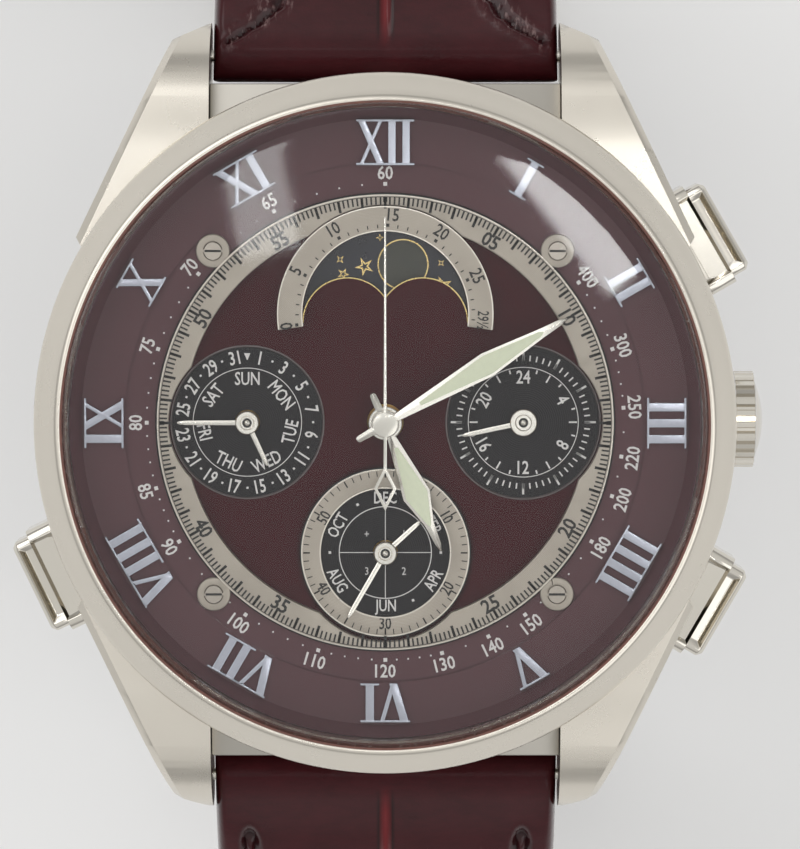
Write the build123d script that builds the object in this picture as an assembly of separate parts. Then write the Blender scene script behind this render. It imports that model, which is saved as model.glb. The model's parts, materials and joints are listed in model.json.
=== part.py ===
from build123d import *
import math
import os

# A moon phase wristwatch, standing unbuckled on its two strap halves.
# The origin is the centre of the case back's outer face, +Z is the dial's normal,
# +Y points to twelve o'clock and +X to the crown. Lengths are in millimetres.

# Half-way along an edge, and how level an edge counts as lying flat
full_turn = 360
half_way_share = 0.5
level_share = 0.9

# Overruns and running clearances
overrun = 1.0
running_gap = 0.05
open_gap = 0.3

# Crystal and its gasket
crystal_radius = 20.0
crystal_bottom_z = 10.1
crystal_edge_z = 11.45
crystal_top_z = 11.9
crystal_bevel = 0.5
gasket_wall_width = 0.2
crystal_seat_radius = crystal_radius + gasket_wall_width

# Bezel, from the crystal outward
bezel_lip_width = 0.45
bezel_flat_width = 0.3
bezel_brow_width = 0.65
bezel_slope_width = 0.5
bezel_step_width = 0.22
bezel_foot_width = 0.27
bezel_lip_radius = crystal_seat_radius - bezel_lip_width
bezel_top_radius = crystal_seat_radius + bezel_flat_width
bezel_brow_radius = bezel_top_radius + bezel_brow_width
bezel_step_radius = bezel_brow_radius + bezel_slope_width
bezel_radius = bezel_step_radius + bezel_step_width
bezel_low_radius = bezel_radius - bezel_foot_width
bezel_edge_z = 8.75
bezel_side_z = 9.6
bezel_step_z = 9.8
bezel_brow_z = 10.95
bezel_top_z = 11.5
bezel_lip_z = 9.9

# Case middle, from the neck that the bezel is pressed on
neck_inset_width = 0.6
case_shoulder_width = 0.4
case_edge_width = 0.7
neck_wall_width = 1.0
dial_seat_width = 1.6
neck_radius = crystal_seat_radius + neck_inset_width
case_radius = neck_radius + case_shoulder_width
case_bottom_radius = case_radius - case_edge_width
dial_bore_radius = neck_radius - neck_wall_width
case_bore_radius = dial_bore_radius - dial_seat_width
case_edge_height = 0.8
shoulder_z = 8.4
neck_top_z = 9.0
dial_seat_z = 6.9

# Lugs, their reach counted from the case's side
lug_gap_width = 22.0
lug_tip_x = 13.4
lug_reach_length = 3.8
lug_tip_length = 2.7
lug_corner_inset = 1.9
lug_corner_y = 11.6
lug_root_inset = 3.2
lug_root_y = 9.4
lug_shelf_inset = 0.8
lug_brow_length = 2.3
lug_heel_length = 3.3
lug_foot_length = 1.4
lug_top_z = 8.2
lug_shelf_z = 8.0
lug_brow_z = 5.7
lug_nose_z = 1.9
lug_heel_z = 0.6
lug_foot_z = 0.3
lug_bevel = 0.45
lug_tip_y = case_radius + lug_tip_length
lug_reach_y = case_radius + lug_reach_length
lug_corner_x = case_radius - lug_corner_inset
lug_root_x = case_radius - lug_root_inset
lug_shelf_y = case_radius - lug_shelf_inset
lug_brow_y = case_radius + lug_brow_length
lug_heel_y = case_radius + lug_heel_length
lug_foot_y = case_radius + lug_foot_length

# Case back
back_thickness = 1.2
back_inset_width = 0.1
back_radius = case_bottom_radius - back_inset_width
back_edge = 0.4
back_floor_z = 0.95
spigot_gap = 0.1
spigot_wall_width = 0.9
spigot_radius = case_bore_radius - spigot_gap
spigot_inner_radius = spigot_radius - spigot_wall_width
spigot_top_z = 1.9
back_gasket_gap = 0.05
back_gasket_width = 0.4
back_gasket_inner_radius = case_bore_radius + back_gasket_gap
back_gasket_outer_radius = back_gasket_inner_radius + back_gasket_width
back_gasket_height = 0.4
back_screw_inset_width = 0.85
back_screw_circle_radius = back_radius - back_screw_inset_width
back_screw_count = 6
back_screw_head_radius = 0.65
back_screw_head_height = 0.5
back_screw_sink = 0.05
back_screw_radius = 0.45
back_screw_depth = 2.0
screw_slot_width = 0.2
screw_slot_depth = 0.12

# Dial, flange, rings and subdials
dial_gap = 0.4
dial_radius = dial_bore_radius - dial_gap
dial_thickness = 0.5
flange_gap = 0.1
flange_slope_width = 0.7
numeral_band_width = 2.7
scale_band_width = 1.9
chapter_gap = 0.12
chapter_width = 1.68
flange_radius = dial_bore_radius - flange_gap
flange_slope_radius = flange_radius - flange_slope_width
flange_ledge_radius = flange_slope_radius - numeral_band_width
flange_inner_radius = flange_ledge_radius - scale_band_width
flange_low_z = 7.8
flange_top_z = 8.0
flange_rim_z = 8.95
chapter_outer_radius = flange_inner_radius - chapter_gap
chapter_inner_radius = chapter_outer_radius - chapter_width
chapter_top_z = 8.1
ear_reach_length = 0.8
ear_circle_radius = flange_inner_radius + ear_reach_length
ear_radius = 1.05
ear_angles = (45, 135, 225, 315)
ear_slot_angle = 45
ear_screw_radius = 0.35
ear_screw_head_radius = 0.75
ear_screw_head_height = 0.2
subdial_depth = 0.3
subdial_thickness = 0.25
side_subdial_share = 0.605
left_radius_share = 0.34
right_radius_share = 0.343
month_place_share = 0.574
left_x = chapter_outer_radius * side_subdial_share
left_radius = chapter_outer_radius * left_radius_share
right_x = chapter_outer_radius * side_subdial_share
right_radius = chapter_outer_radius * right_radius_share
month_y = chapter_outer_radius * month_place_share
month_radius = 4.05
month_ring_width = 1.23
month_groove_width = 0.22
month_ring_radius = month_radius + month_ring_width
month_groove_radius = month_ring_radius + month_groove_width
month_ring_z = 7.6
notch_gap = 0.05

# Moon aperture, arch and disc
moon_place_share = 0.476
moon_y = chapter_outer_radius * moon_place_share
aperture_radius = 5.15
arch_gap = 0.03
arch_width = 1.58
arch_inner_radius = aperture_radius + arch_gap
arch_outer_radius = arch_inner_radius + arch_width
arch_top_z = 8.1
arch_end_angle = 8.5
hump_x = 2.35
hump_drop_length = 0.55
hump_y = moon_y - hump_drop_length
hump_radius = 2.8
moon_disc_width = 0.15
moon_disc_radius = aperture_radius + moon_disc_width
moon_disc_bottom_z = 6.4
moon_disc_thickness = 0.2
moon_disc_top_z = moon_disc_bottom_z + moon_disc_thickness
moon_boss_radius = 0.9
moon_boss_drop = 0.5

# Applied Roman numerals
numeral_gap = 0.05
numeral_length = 2.45
numeral_inner_radius = flange_ledge_radius + numeral_gap
numeral_outer_radius = numeral_inner_radius + numeral_length
numeral_height = 0.35
stroke_width = 0.52
stroke_pitch = 1.0
slant_width = 1.95
thin_stroke = 0.26
serif_height = 0.13
serif_reach = 0.18
numerals = ("XII", "I", "II", "III", "IIII", "V", "VI", "VII", "VIII", "IX", "X", "XI")

# Hands. Angles run clockwise from twelve o'clock
hand_thickness = 0.2
small_hand_thickness = 0.15
low_hand_z = 7.55
high_hand_z = 7.85
single_hand_z = 7.7
cap_height = 0.15
hour_hand_z = 8.35
minute_hand_z = 8.85
seconds_hand_z = 9.35
hour_angle = 156.4
hour_length = 8.75
hour_width = 1.9
hour_hub = 1.2
minute_angle = 59.8
minute_length = 13.1
minute_width = 1.65
minute_hub = 1.0
leaf_root_half = 0.24
leaf_tail = 2.05
leaf_frame = 0.3
widest_share = 0.56
lume_start_share = 0.27
lume_end_share = 0.86
seconds_angle = 0
seconds_length = 12.9
seconds_tail = 5.4
seconds_width = 0.2
seconds_hub = 0.75
diamond_start = 2.6
diamond_half = 0.7
date_angle = 270
date_length = 4.4
weekday_angle = 155
weekday_length = 3.0
day_hub = 0.73
hours24_angle = 258
hours24_length = 3.93
hours24_hub = 0.85
small_minute_angle = 210
small_minute_length = 4.67
month_angle = 47.7
month_length = 3.0
month_hub = 0.72
small_hand_root_half = 0.16
small_hand_width = 0.5
small_hand_tail = 1.35
small_cap_share = 0.62

# Arbors, from the centre outward
seconds_arbor = 0.25
cannon_inner = 0.3
cannon_outer = 0.55
hour_tube_inner = 0.6
hour_tube_outer = 0.85
dial_hole = 1.15
day_arbor = 0.25
day_tube_inner = 0.3
day_tube_outer = 0.5
day_dial_hole = 0.78
wheel_arbor = 0.35
hours24_dial_hole = 0.65
moon_arbor = 0.4
tube_foot_z = 4.3
post_foot_z = 3.9

# Motion work
wheel_distance = 3.6
wheel_direction = 225
cannon_teeth = 12
minute_wheel_teeth = 36
minute_pinion_teeth = 10
hour_wheel_teeth = 40
hour_drive_teeth = 24
idler_teeth = 24
hours24_teeth = 48
addendum_share = 0.55
dedendum_share = 1.0
tooth_root_share = 0.27
tooth_tip_share = 0.11
layer_a_bottom = 5.2
layer_a_top = 5.45
layer_b_bottom = 5.6
layer_b_top = 5.82
layer_c_bottom = 5.95
layer_c_top = 6.17
calendar_wheel_radius = 2.6
calendar_wheel_height = 0.3
date_teeth = 31
weekday_teeth = 28
month_teeth = 24
small_minute_teeth = 30

# Movement
plate_radius = 15.0
plate_bottom = 2.5
plate_top = 5.0
holder_gap = 0.1
holder_outer_radius = case_bore_radius - holder_gap
holder_bottom = 2.0
board_radius = 14.0
board_thickness = 0.3
battery_x = -7.0
battery_y = -6.6
battery_radius = 4.75
battery_bottom = 2.0
battery_top = 4.1
battery_cap_radius = 4.2
battery_cap_height = 0.25
battery_gap = 0.15
coil_radius = 0.8
coil_core_radius = 0.35
coil_length = 5.0
coil_core_length = 6.6
coil_z = 3.6
coil_places_shares = ((0.52, -0.52, 45), (-0.4, 0.6, 145), (0.42, 0.6, 35))

# Crown, stem and setting lever
crown_z = 4.4
crown_radius = 3.03
crown_gap = 0.8
crown_grip_length = 1.2
crown_length = 1.8
crown_start_x = case_radius + crown_gap
crown_grip_x = crown_start_x + crown_grip_length
crown_end_x = crown_start_x + crown_length
crown_dome_radius = 2.6
crown_ridges = 26
crown_groove_depth = 0.24
crown_flute_shares = ((0, 0), (0.42, 0), (0.58, 1), (0.84, 1))
crown_bore_radius = 1.4
crown_bore_length = 1.3
crown_bore_x = crown_start_x + crown_bore_length
crown_tube_radius = 1.3
crown_tube_gap = 0.4
crown_tube_reach_length = 1.1
crown_tube_start_x = case_bore_radius + crown_tube_gap
crown_tube_end_x = crown_start_x + crown_tube_reach_length
crown_gasket_radius = 1.65
crown_gasket_gap = 0.15
crown_gasket_width = 0.3
crown_gasket_start_x = crown_start_x + crown_gasket_gap
crown_gasket_end_x = crown_gasket_start_x + crown_gasket_width
stem_radius = 0.5
stem_start_x = 12.5
stem_groove_gap = 0.4
stem_groove_width = 0.4
stem_groove_x = stem_start_x + stem_groove_gap
stem_groove_radius = 0.3
lever_width = 1.6
lever_bottom = 4.0
lever_top = 4.95
channel_start = 12.2
channel_width = 2.2
channel_floor = 3.75
holder_stem_hole = 0.8

# Pushers and their guards
pusher_angles = {"pusher_upper": 30, "pusher_lower": -30, "pusher_left": 205.5}
guard_length = 6.9
guard_height = 4.2
guard_reach_length = 2.3
guard_corner = 0.7
pocket_gap = 0.85
pusher_gap = 0.85
pusher_reach_length = 1.8
guard_end_radius = case_radius + guard_reach_length
pocket_start_radius = case_radius + pocket_gap
pusher_start_radius = pocket_start_radius + pusher_gap
pusher_end_radius = pusher_start_radius + pusher_reach_length
pusher_length = 6.2
pusher_height = 3.4
pusher_corner = 0.5
pusher_crown = 0.3
pusher_stem_radius = 0.5
pusher_stem_depth = 1.0
pusher_hole_depth = 1.3
pusher_stem_end_radius = case_bore_radius - pusher_stem_depth
pusher_hole_end_radius = pusher_stem_end_radius - pusher_hole_depth

# Spring bars
bar_gap = 1.7
bar_y = case_radius + bar_gap
bar_z = 2.4
bar_radius = 0.75
bar_half_length = 10.2
bar_pivot_radius = 0.42
bar_pivot_end = 12.0
bar_hole_radius = 0.45
bar_hole_end = 12.3
bar_rib_width = 0.4
bar_rib_radius = 0.62

# Strap. Its halves leave the lugs downward, turn upright and reach the ground
strap_width = 21.4
strap_end_width = 18.0
strap_end_radius = 1.5
strap_exit_angle = 25
strap_shoulder_radius = 13.0
pad_outer = 2.35
pad_inner = 1.75
strap_half_thin = 1.3
pad_rise = 6.0
ground_z = -68.5
strap_edge = 0.5
flank_share = 0.4
strap_hole_gap = 0.05
short_foot_y = 25.0
buckle_axis_height = 1.42
short_end_radius = 1.36
long_bend_radius = 20.0
long_foot_length = 25.0
long_half_thin = 1.2
long_taper_end_z = -45.0
long_tip_radius = 14.0
hole_radius = 0.9
hole_count = 7
hole_pitch = 6.5
hole_start = 12.0
strap_stations = 14

# Buckle, its bar and tongue
buckle_bar_radius = 0.7
buckle_pivot_radius = 0.45
buckle_hole_radius = 0.5
buckle_inner_half = 9.35
buckle_outer_half = 11.4
buckle_reach = 15.0
buckle_inner_reach = 12.6
buckle_thickness = 2.0
buckle_ear_radius = 1.4
buckle_ear_back = 1.4
buckle_corner = 2.6
buckle_edge = 0.35
tongue_width = 2.0
tongue_ring_radius = 1.3
tongue_thickness = 0.85
tongue_reach = 15.6
tongue_slot_width = 2.6
tongue_slot_depth = 8.0
tongue_slot_reach = 3.4
tongue_lift = 0.1

# Keepers
keeper_height = 5.0
keeper_wall = 0.9
keeper_gap = 0.3
keeper_corner = 1.0
tail_room = 3.2
fixed_keeper_distance = 12.0
free_keeper_distance = 21.0

# Values worked out from those above
dial_top = dial_seat_z + dial_thickness
subdial_bottom = dial_top - subdial_depth
subdial_top = subdial_bottom + subdial_thickness
back_bore_top = back_thickness + back_gasket_height
moving_module = 2 * wheel_distance / (cannon_teeth + minute_wheel_teeth)
hour_module = 2 * wheel_distance / (minute_pinion_teeth + hour_wheel_teeth)
train_teeth = hour_drive_teeth + 2 * idler_teeth + hours24_teeth
train_module = 2 * right_x / train_teeth
idler_x = train_module * (hour_drive_teeth + idler_teeth) / 2
minute_wheel_x = wheel_distance * math.cos(math.radians(wheel_direction))
minute_wheel_y = wheel_distance * math.sin(math.radians(wheel_direction))
buckle_axis_z = ground_z + buckle_axis_height
lug_places = ((1, 1), (-1, 1), (-1, -1), (1, -1))


# Shared shapes


def post(radius, bottom, top, x=0, y=0):
    """An upright cylinder between two heights."""
    shape = Cylinder(radius, top - bottom, align=(Align.CENTER, Align.CENTER, Align.MIN))
    return Pos(x, y, bottom) * shape


def ring(outer, inner, bottom, top, x=0, y=0):
    """An upright tube between two heights."""
    return post(outer, bottom, top, x, y) - post(inner, bottom, top, x, y)


def block(x_range, y_range, z_range):
    """A box between limits on each axis."""
    lengths = [high - low for low, high in (x_range, y_range, z_range)]
    corner = Pos(x_range[0], y_range[0], z_range[0])
    return corner * Box(*lengths, align=(Align.MIN, Align.MIN, Align.MIN))


def turned(points):
    """A solid of revolution about Z from (radius, height) points."""
    return revolve(Plane.XZ * make_face(Polyline(*points, close=True)), Axis.Z)


def upright(points, bottom, top):
    """A prism on a closed XY outline."""
    face = make_face(Polyline(*points, close=True))
    return Pos(0, 0, bottom) * extrude(face, top - bottom)


def radial_place(angle):
    """A plane on the case's side axis: local Z points outward, local X is upward."""
    turn = math.radians(angle)
    outward = (math.cos(turn), math.sin(turn), 0)
    return Plane(origin=(0, 0, crown_z), x_dir=(0, 0, 1), z_dir=outward)


def radial_rod(angle, radius, start, end):
    """A round rod or bore that points away from the watch's centre."""
    rod = Cylinder(radius, end - start, align=(Align.CENTER, Align.CENTER, Align.MIN))
    return radial_place(angle) * (Pos(0, 0, start) * rod)


def radial_block(angle, length, height, corner, start, end):
    """A block with rounded corners that points away from the watch's centre."""
    outline = RectangleRounded(height, length, corner)
    return radial_place(angle) * (Pos(0, 0, start) * extrude(outline, end - start))


def across(radius, start, end, y, z):
    """A round rod along X."""
    rod = Cylinder(radius, end - start, align=(Align.CENTER, Align.CENTER, Align.MIN))
    return Pos(start, y, z) * (Rot(0, 90, 0) * rod)


def as_solids(shape):
    """The solids of a result, whatever it came wrapped in."""
    return list(shape.solids())


def save(name, *shapes):
    """Writes one sub-part, as separate solids where it has several."""
    solids = [solid for shape in shapes for solid in as_solids(shape)]
    part = solids[0] if len(solids) == 1 else Compound(children=solids)
    part.label = name
    export_step(part, f"parts/{name}.step")


# Case


def lug():
    """The lug at the crown side of twelve o'clock."""
    inner = lug_gap_width / 2
    plan = upright(
        [
            (inner, lug_root_y),
            (inner, lug_reach_y),
            (lug_tip_x, lug_tip_y),
            (lug_corner_x, lug_corner_y),
            (lug_root_x, lug_root_y),
        ],
        lug_foot_z - overrun,
        lug_top_z + overrun,
    )
    top = Line((lug_root_y, lug_top_z), (lug_shelf_y, lug_shelf_z))
    brow = ThreePointArc(
        (lug_shelf_y, lug_shelf_z), (lug_brow_y, lug_brow_z), (lug_reach_y, lug_nose_z)
    )
    under = Polyline(
        (lug_reach_y, lug_nose_z),
        (lug_heel_y, lug_heel_z),
        (lug_foot_y, lug_foot_z),
        (case_radius, back_thickness),
        (lug_root_y, back_thickness),
        (lug_root_y, lug_top_z),
    )
    side = Plane.YZ * make_face(top + brow + under)
    shape = extrude(side, lug_corner_x + overrun) & plan
    flank = shape.edges().filter_by(
        lambda edge: edge.center().X > lug_tip_x and edge.center().Z > lug_brow_z
    )
    outer = [edge for edge in flank if abs(edge.tangent_at(half_way_share).Z) < level_share]
    outer = [edge for edge in outer if edge.center().Y > lug_corner_y]
    shape = chamfer(outer, lug_bevel)
    return shape - post(dial_bore_radius + open_gap, lug_foot_z - overrun, lug_top_z + overrun)


def case_middle():
    """The case ring with its four lugs, bores and drillings."""
    band = turned(
        [
            (case_bore_radius, back_thickness),
            (case_bottom_radius, back_thickness),
            (case_radius, back_thickness + case_edge_height),
            (case_radius, shoulder_z),
            (neck_radius, shoulder_z),
            (neck_radius, neck_top_z),
            (dial_bore_radius, neck_top_z),
            (dial_bore_radius, dial_seat_z),
            (case_bore_radius, dial_seat_z),
        ]
    )
    first = lug()
    for x_side, y_side in lug_places:
        shape = first if x_side > 0 else mirror(first, Plane.YZ)
        band += shape if y_side > 0 else mirror(shape, Plane.XZ)
    for y in (bar_y, -bar_y):
        band -= across(bar_hole_radius, -bar_hole_end, bar_hole_end, y, bar_z)
    band -= ring(back_gasket_outer_radius, case_bore_radius, back_thickness, back_bore_top)
    for angle in back_screw_angles():
        x, y = polar(back_screw_circle_radius, angle)
        band -= post(back_screw_radius, back_thickness - overrun, back_screw_depth + back_thickness, x, y)
    band -= radial_rod(0, crown_tube_radius, case_bore_radius - overrun, case_radius + overrun)
    for angle in pusher_angles.values():
        hole = pusher_stem_radius + running_gap
        band -= radial_rod(angle, hole, case_bore_radius - overrun, case_radius + overrun)
        band -= guard_blank(angle)
    return band


def back_screw_angles():
    """Where the case back's screws sit, clear of the lugs' centre lines."""
    step = 360 / back_screw_count
    return [step * index + step / 2 for index in range(back_screw_count)]


def polar(radius, angle):
    """A point at an angle counted anticlockwise from +X."""
    turn = math.radians(angle)
    return radius * math.cos(turn), radius * math.sin(turn)


def bezel():
    """The polished bezel that holds the crystal."""
    foot = Polyline(
        (bezel_brow_radius, bezel_brow_z),
        (bezel_step_radius, bezel_step_z),
        (bezel_step_radius, bezel_side_z),
        (bezel_radius, bezel_side_z),
        (bezel_radius, bezel_edge_z),
        (bezel_low_radius, shoulder_z),
        (neck_radius, shoulder_z),
        (neck_radius, neck_top_z),
        (bezel_lip_radius, neck_top_z),
        (bezel_lip_radius, bezel_lip_z),
        (crystal_seat_radius, bezel_lip_z),
        (crystal_seat_radius, bezel_top_z),
        (bezel_top_radius, bezel_top_z),
    )
    brow = Line((bezel_top_radius, bezel_top_z), (bezel_brow_radius, bezel_brow_z))
    return revolve(Plane.XZ * make_face(foot + brow), Axis.Z)


def crystal():
    """The flat crystal with its bevelled rim."""
    return turned(
        [
            (0, crystal_bottom_z),
            (crystal_radius, crystal_bottom_z),
            (crystal_radius, crystal_edge_z),
            (crystal_radius - crystal_bevel, crystal_top_z),
            (0, crystal_top_z),
        ]
    )


def crystal_gasket():
    """The L-shaped ring between the crystal and the bezel."""
    return turned(
        [
            (bezel_lip_radius, bezel_lip_z),
            (crystal_seat_radius, bezel_lip_z),
            (crystal_seat_radius, crystal_edge_z),
            (crystal_radius, crystal_edge_z),
            (crystal_radius, crystal_bottom_z),
            (bezel_lip_radius, crystal_bottom_z),
        ]
    )


def case_back():
    """The screwed case back, whose outer face is the origin."""
    plate = turned(
        [
            (0, 0),
            (back_radius - back_edge, 0),
            (back_radius, back_edge),
            (back_radius, back_thickness),
            (spigot_radius, back_thickness),
            (spigot_radius, spigot_top_z),
            (spigot_inner_radius, spigot_top_z),
            (spigot_inner_radius, back_floor_z),
            (0, back_floor_z),
        ]
    )
    for angle in back_screw_angles():
        x, y = polar(back_screw_circle_radius, angle)
        head_top = back_screw_sink + back_screw_head_height
        plate -= post(back_screw_radius, 0, back_thickness, x, y)
        plate -= post(back_screw_head_radius, -overrun, head_top, x, y)
    return plate


def back_gasket():
    """The seal between the case back and the case middle."""
    return ring(
        back_gasket_outer_radius, back_gasket_inner_radius, back_thickness, back_bore_top
    )


def back_screws():
    """The case back's slotted screws."""
    screws = []
    for angle in back_screw_angles():
        x, y = polar(back_screw_circle_radius, angle)
        head_top = back_screw_sink + back_screw_head_height
        screw = post(back_screw_head_radius, back_screw_sink, head_top, x, y)
        screw += post(back_screw_radius, head_top, back_thickness + back_screw_depth, x, y)
        slot = Box(2 * back_screw_head_radius + overrun, screw_slot_width, 2 * screw_slot_depth)
        screw -= Pos(x, y, back_screw_sink) * (Rot(0, 0, angle) * slot)
        screws.append(screw)
    return screws


# Dial side


def dial():
    """The dial plate with its recesses, moon aperture and arbor holes."""
    plate = post(dial_radius, dial_seat_z, dial_top)
    plate -= post(left_radius, subdial_bottom, dial_top + overrun, -left_x)
    plate -= post(right_radius, subdial_bottom, dial_top + overrun, right_x)
    plate -= post(month_groove_radius, subdial_bottom, dial_top + overrun, 0, -month_y)
    plate -= aperture(dial_seat_z - overrun, dial_top + overrun)
    for x, y, radius in dial_holes():
        plate -= post(radius, dial_seat_z - overrun, dial_top + overrun, x, y)
    for angle in ear_angles:
        x, y = polar(ear_circle_radius, angle)
        plate -= post(ear_screw_radius, dial_seat_z - overrun, dial_top + overrun, x, y)
    return plate


def dial_holes():
    """The arbor holes through the dial: x, y and radius."""
    return (
        (0, 0, dial_hole),
        (-left_x, 0, day_dial_hole),
        (right_x, 0, hours24_dial_hole),
        (0, -month_y, day_dial_hole),
    )


def aperture(bottom, top):
    """The moon window: a half disc above two humps."""
    window = post(aperture_radius, bottom, top, 0, moon_y)
    upper = (hump_y, moon_y + arch_outer_radius)
    window &= block((-arch_outer_radius, arch_outer_radius), upper, (bottom, top))
    for x in (-hump_x, hump_x):
        window -= post(hump_radius, bottom, top, x, hump_y)
    return window


def dial_flange():
    """The outer scale ring with its low inner zone and sloping rim."""
    flange = turned(
        [
            (flange_inner_radius, dial_top),
            (flange_inner_radius, flange_low_z),
            (flange_ledge_radius, flange_low_z),
            (flange_ledge_radius, flange_top_z),
            (flange_slope_radius, flange_top_z),
            (flange_radius, flange_rim_z),
            (flange_radius, dial_top),
        ]
    )
    for angle in ear_angles:
        x, y = polar(ear_circle_radius, angle)
        flange -= post(ear_screw_radius, dial_top - overrun, flange_top_z, x, y)
    return flange


def chapter_ring():
    """The raised minute ring with four screwed ears."""
    track = ring(chapter_outer_radius, chapter_inner_radius, dial_top, chapter_top_z)
    for angle in ear_angles:
        x, y = polar(ear_circle_radius, angle)
        track += post(ear_radius, flange_low_z, chapter_top_z, x, y)
    cuts = (
        (-left_x, 0, left_radius),
        (right_x, 0, right_radius),
        (0, -month_y, month_groove_radius),
        (0, moon_y, arch_outer_radius),
    )
    for x, y, radius in cuts:
        track -= post(radius + notch_gap, dial_top - overrun, chapter_top_z + overrun, x, y)
    for angle in ear_angles:
        x, y = polar(ear_circle_radius, angle)
        track -= post(ear_screw_radius, dial_top - overrun, chapter_top_z + overrun, x, y)
    return track


def chapter_screws():
    """The slotted screws in the chapter ring's ears."""
    screws = []
    for angle in ear_angles:
        x, y = polar(ear_circle_radius, angle)
        head_top = chapter_top_z + ear_screw_head_height
        screw = post(ear_screw_radius, dial_seat_z, chapter_top_z, x, y)
        screw += post(ear_screw_head_radius, chapter_top_z, head_top, x, y)
        slot = Box(2 * ear_screw_head_radius + overrun, screw_slot_width, 2 * screw_slot_depth)
        screw -= Pos(x, y, head_top) * (Rot(0, 0, angle + ear_slot_angle) * slot)
        screws.append(screw)
    return screws


def moon_scale_ring():
    """The arch over the moon window."""
    reach = 2 * arch_outer_radius
    drop = math.radians(arch_end_angle)
    side = reach * math.cos(drop)
    low = moon_y - reach * math.sin(drop)
    high = moon_y + reach
    keep = upright(
        [(0, moon_y), (side, low), (side, high), (-side, high), (-side, low)], dial_top, arch_top_z
    )
    return ring(arch_outer_radius, arch_inner_radius, dial_top, arch_top_z, 0, moon_y) & keep


def moon_disc():
    """The turning moon disc and its arbor."""
    disc = post(moon_disc_radius, moon_disc_bottom_z, moon_disc_top_z, 0, moon_y)
    disc += post(moon_boss_radius, moon_disc_bottom_z - moon_boss_drop, moon_disc_bottom_z, 0, moon_y)
    return disc + post(moon_arbor, tube_foot_z, moon_disc_bottom_z, 0, moon_y)


def subdials():
    """The three sunk discs and the silvered ring round the lowest."""
    left = post(left_radius, subdial_bottom, subdial_top, -left_x)
    left -= post(day_dial_hole, subdial_bottom, subdial_top, -left_x)
    right = post(right_radius, subdial_bottom, subdial_top, right_x)
    right -= post(hours24_dial_hole, subdial_bottom, subdial_top, right_x)
    month = ring(month_radius, day_dial_hole, subdial_bottom, subdial_top, 0, -month_y)
    scale = ring(month_ring_radius, month_radius, subdial_bottom, month_ring_z, 0, -month_y)
    return left, right, month, scale


# Numerals


def bar_stroke(x, half, low, high):
    """An upright stroke as an outline."""
    return [(x - half, low), (x + half, low), (x + half, high), (x - half, high)]


def slant_stroke(x_low, x_high, half, low, high):
    """A leaning stroke as an outline."""
    return [(x_low - half, low), (x_low + half, low), (x_high + half, high), (x_high - half, high)]


def numeral(letters):
    """One applied numeral, its foot toward the dial's centre."""
    widths = [stroke_pitch if letter == "I" else slant_width for letter in letters]
    low, high = numeral_inner_radius, numeral_outer_radius
    left = -sum(widths) / 2
    outlines = []
    for letter, width in zip(letters, widths):
        middle = left + width / 2
        lean = (width - stroke_width) / 2
        if letter == "I":
            outlines.append(bar_stroke(middle, stroke_width / 2, low, high))
        elif letter == "V":
            outlines.append(slant_stroke(middle, middle - lean, stroke_width / 2, low, high))
            outlines.append(slant_stroke(middle, middle + lean, thin_stroke / 2, low, high))
        else:
            outlines.append(
                slant_stroke(middle + lean, middle - lean, stroke_width / 2, low, high)
            )
            outlines.append(slant_stroke(middle - lean, middle + lean, thin_stroke / 2, low, high))
        reach = width / 2 + serif_reach / 2
        outlines.append(bar_stroke(middle, reach, high - serif_height, high))
        if letter != "V":
            outlines.append(bar_stroke(middle, reach, low, low + serif_height))
        left += width
    shape = upright(outlines[0], flange_top_z, flange_top_z + numeral_height)
    for outline in outlines[1:]:
        shape += upright(outline, flange_top_z, flange_top_z + numeral_height)
    return shape


def roman_numerals():
    """All twelve applied numerals."""
    shapes = []
    for index, letters in enumerate(numerals):
        shapes.append(Rot(0, 0, -360 / len(numerals) * index) * numeral(letters))
    return shapes


# Hands


def leaf(length, half_width, root_half, bottom, top, start=0):
    """A pointed leaf along +Y, as two arcs from its root to its tip."""
    widest = start + (length - start) * widest_share
    right = ThreePointArc((root_half, start), (half_width, widest), (0, length))
    left = ThreePointArc((0, length), (-half_width, widest), (-root_half, start))
    base = Line((-root_half, start), (root_half, start))
    return Pos(0, 0, bottom) * extrude(make_face(right + left + base), top - bottom)


def main_hand(length, width, hub, bore, z, angle):
    """An hour or minute hand and the lume that fills its window."""
    top = z + hand_thickness
    body = leaf(length, width / 2, leaf_root_half, z, top)
    body += leaf(-leaf_tail, leaf_root_half * 2, leaf_root_half, z, top)
    body += post(hub, z, top)
    start = length * lume_start_share
    end = length * lume_end_share
    window = leaf(end, width / 2 - leaf_frame, leaf_root_half / 2, z, top, start)
    body -= window
    body -= post(bore, z, top)
    turn = Rot(0, 0, -angle)
    return turn * body, turn * window


def seconds_hand():
    """The centre seconds hand with its hollow diamond tail, cap and arbor."""
    top = seconds_hand_z + small_hand_thickness
    half = seconds_width / 2
    root = -diamond_start - seconds_width
    pointer = upright(
        [(-half, root), (half, root), (half / 2, seconds_length), (-half / 2, seconds_length)],
        seconds_hand_z,
        top,
    )
    frame = diamond(0, top) - diamond(seconds_width, top)
    shape = pointer + frame + post(seconds_hub, seconds_hand_z, top + cap_height)
    shape += post(seconds_arbor, tube_foot_z, seconds_hand_z)
    return Rot(0, 0, -seconds_angle) * shape


def diamond(inset, top):
    """The tail's diamond, shrunk by an inset for its window."""
    middle = -(diamond_start + seconds_tail) / 2
    long_half = (seconds_tail - diamond_start) / 2 - inset * 2
    short_half = diamond_half - inset
    points = [(0, middle + long_half), (short_half, middle), (0, middle - long_half), (-short_half, middle)]
    return upright(points, seconds_hand_z, top)


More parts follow.
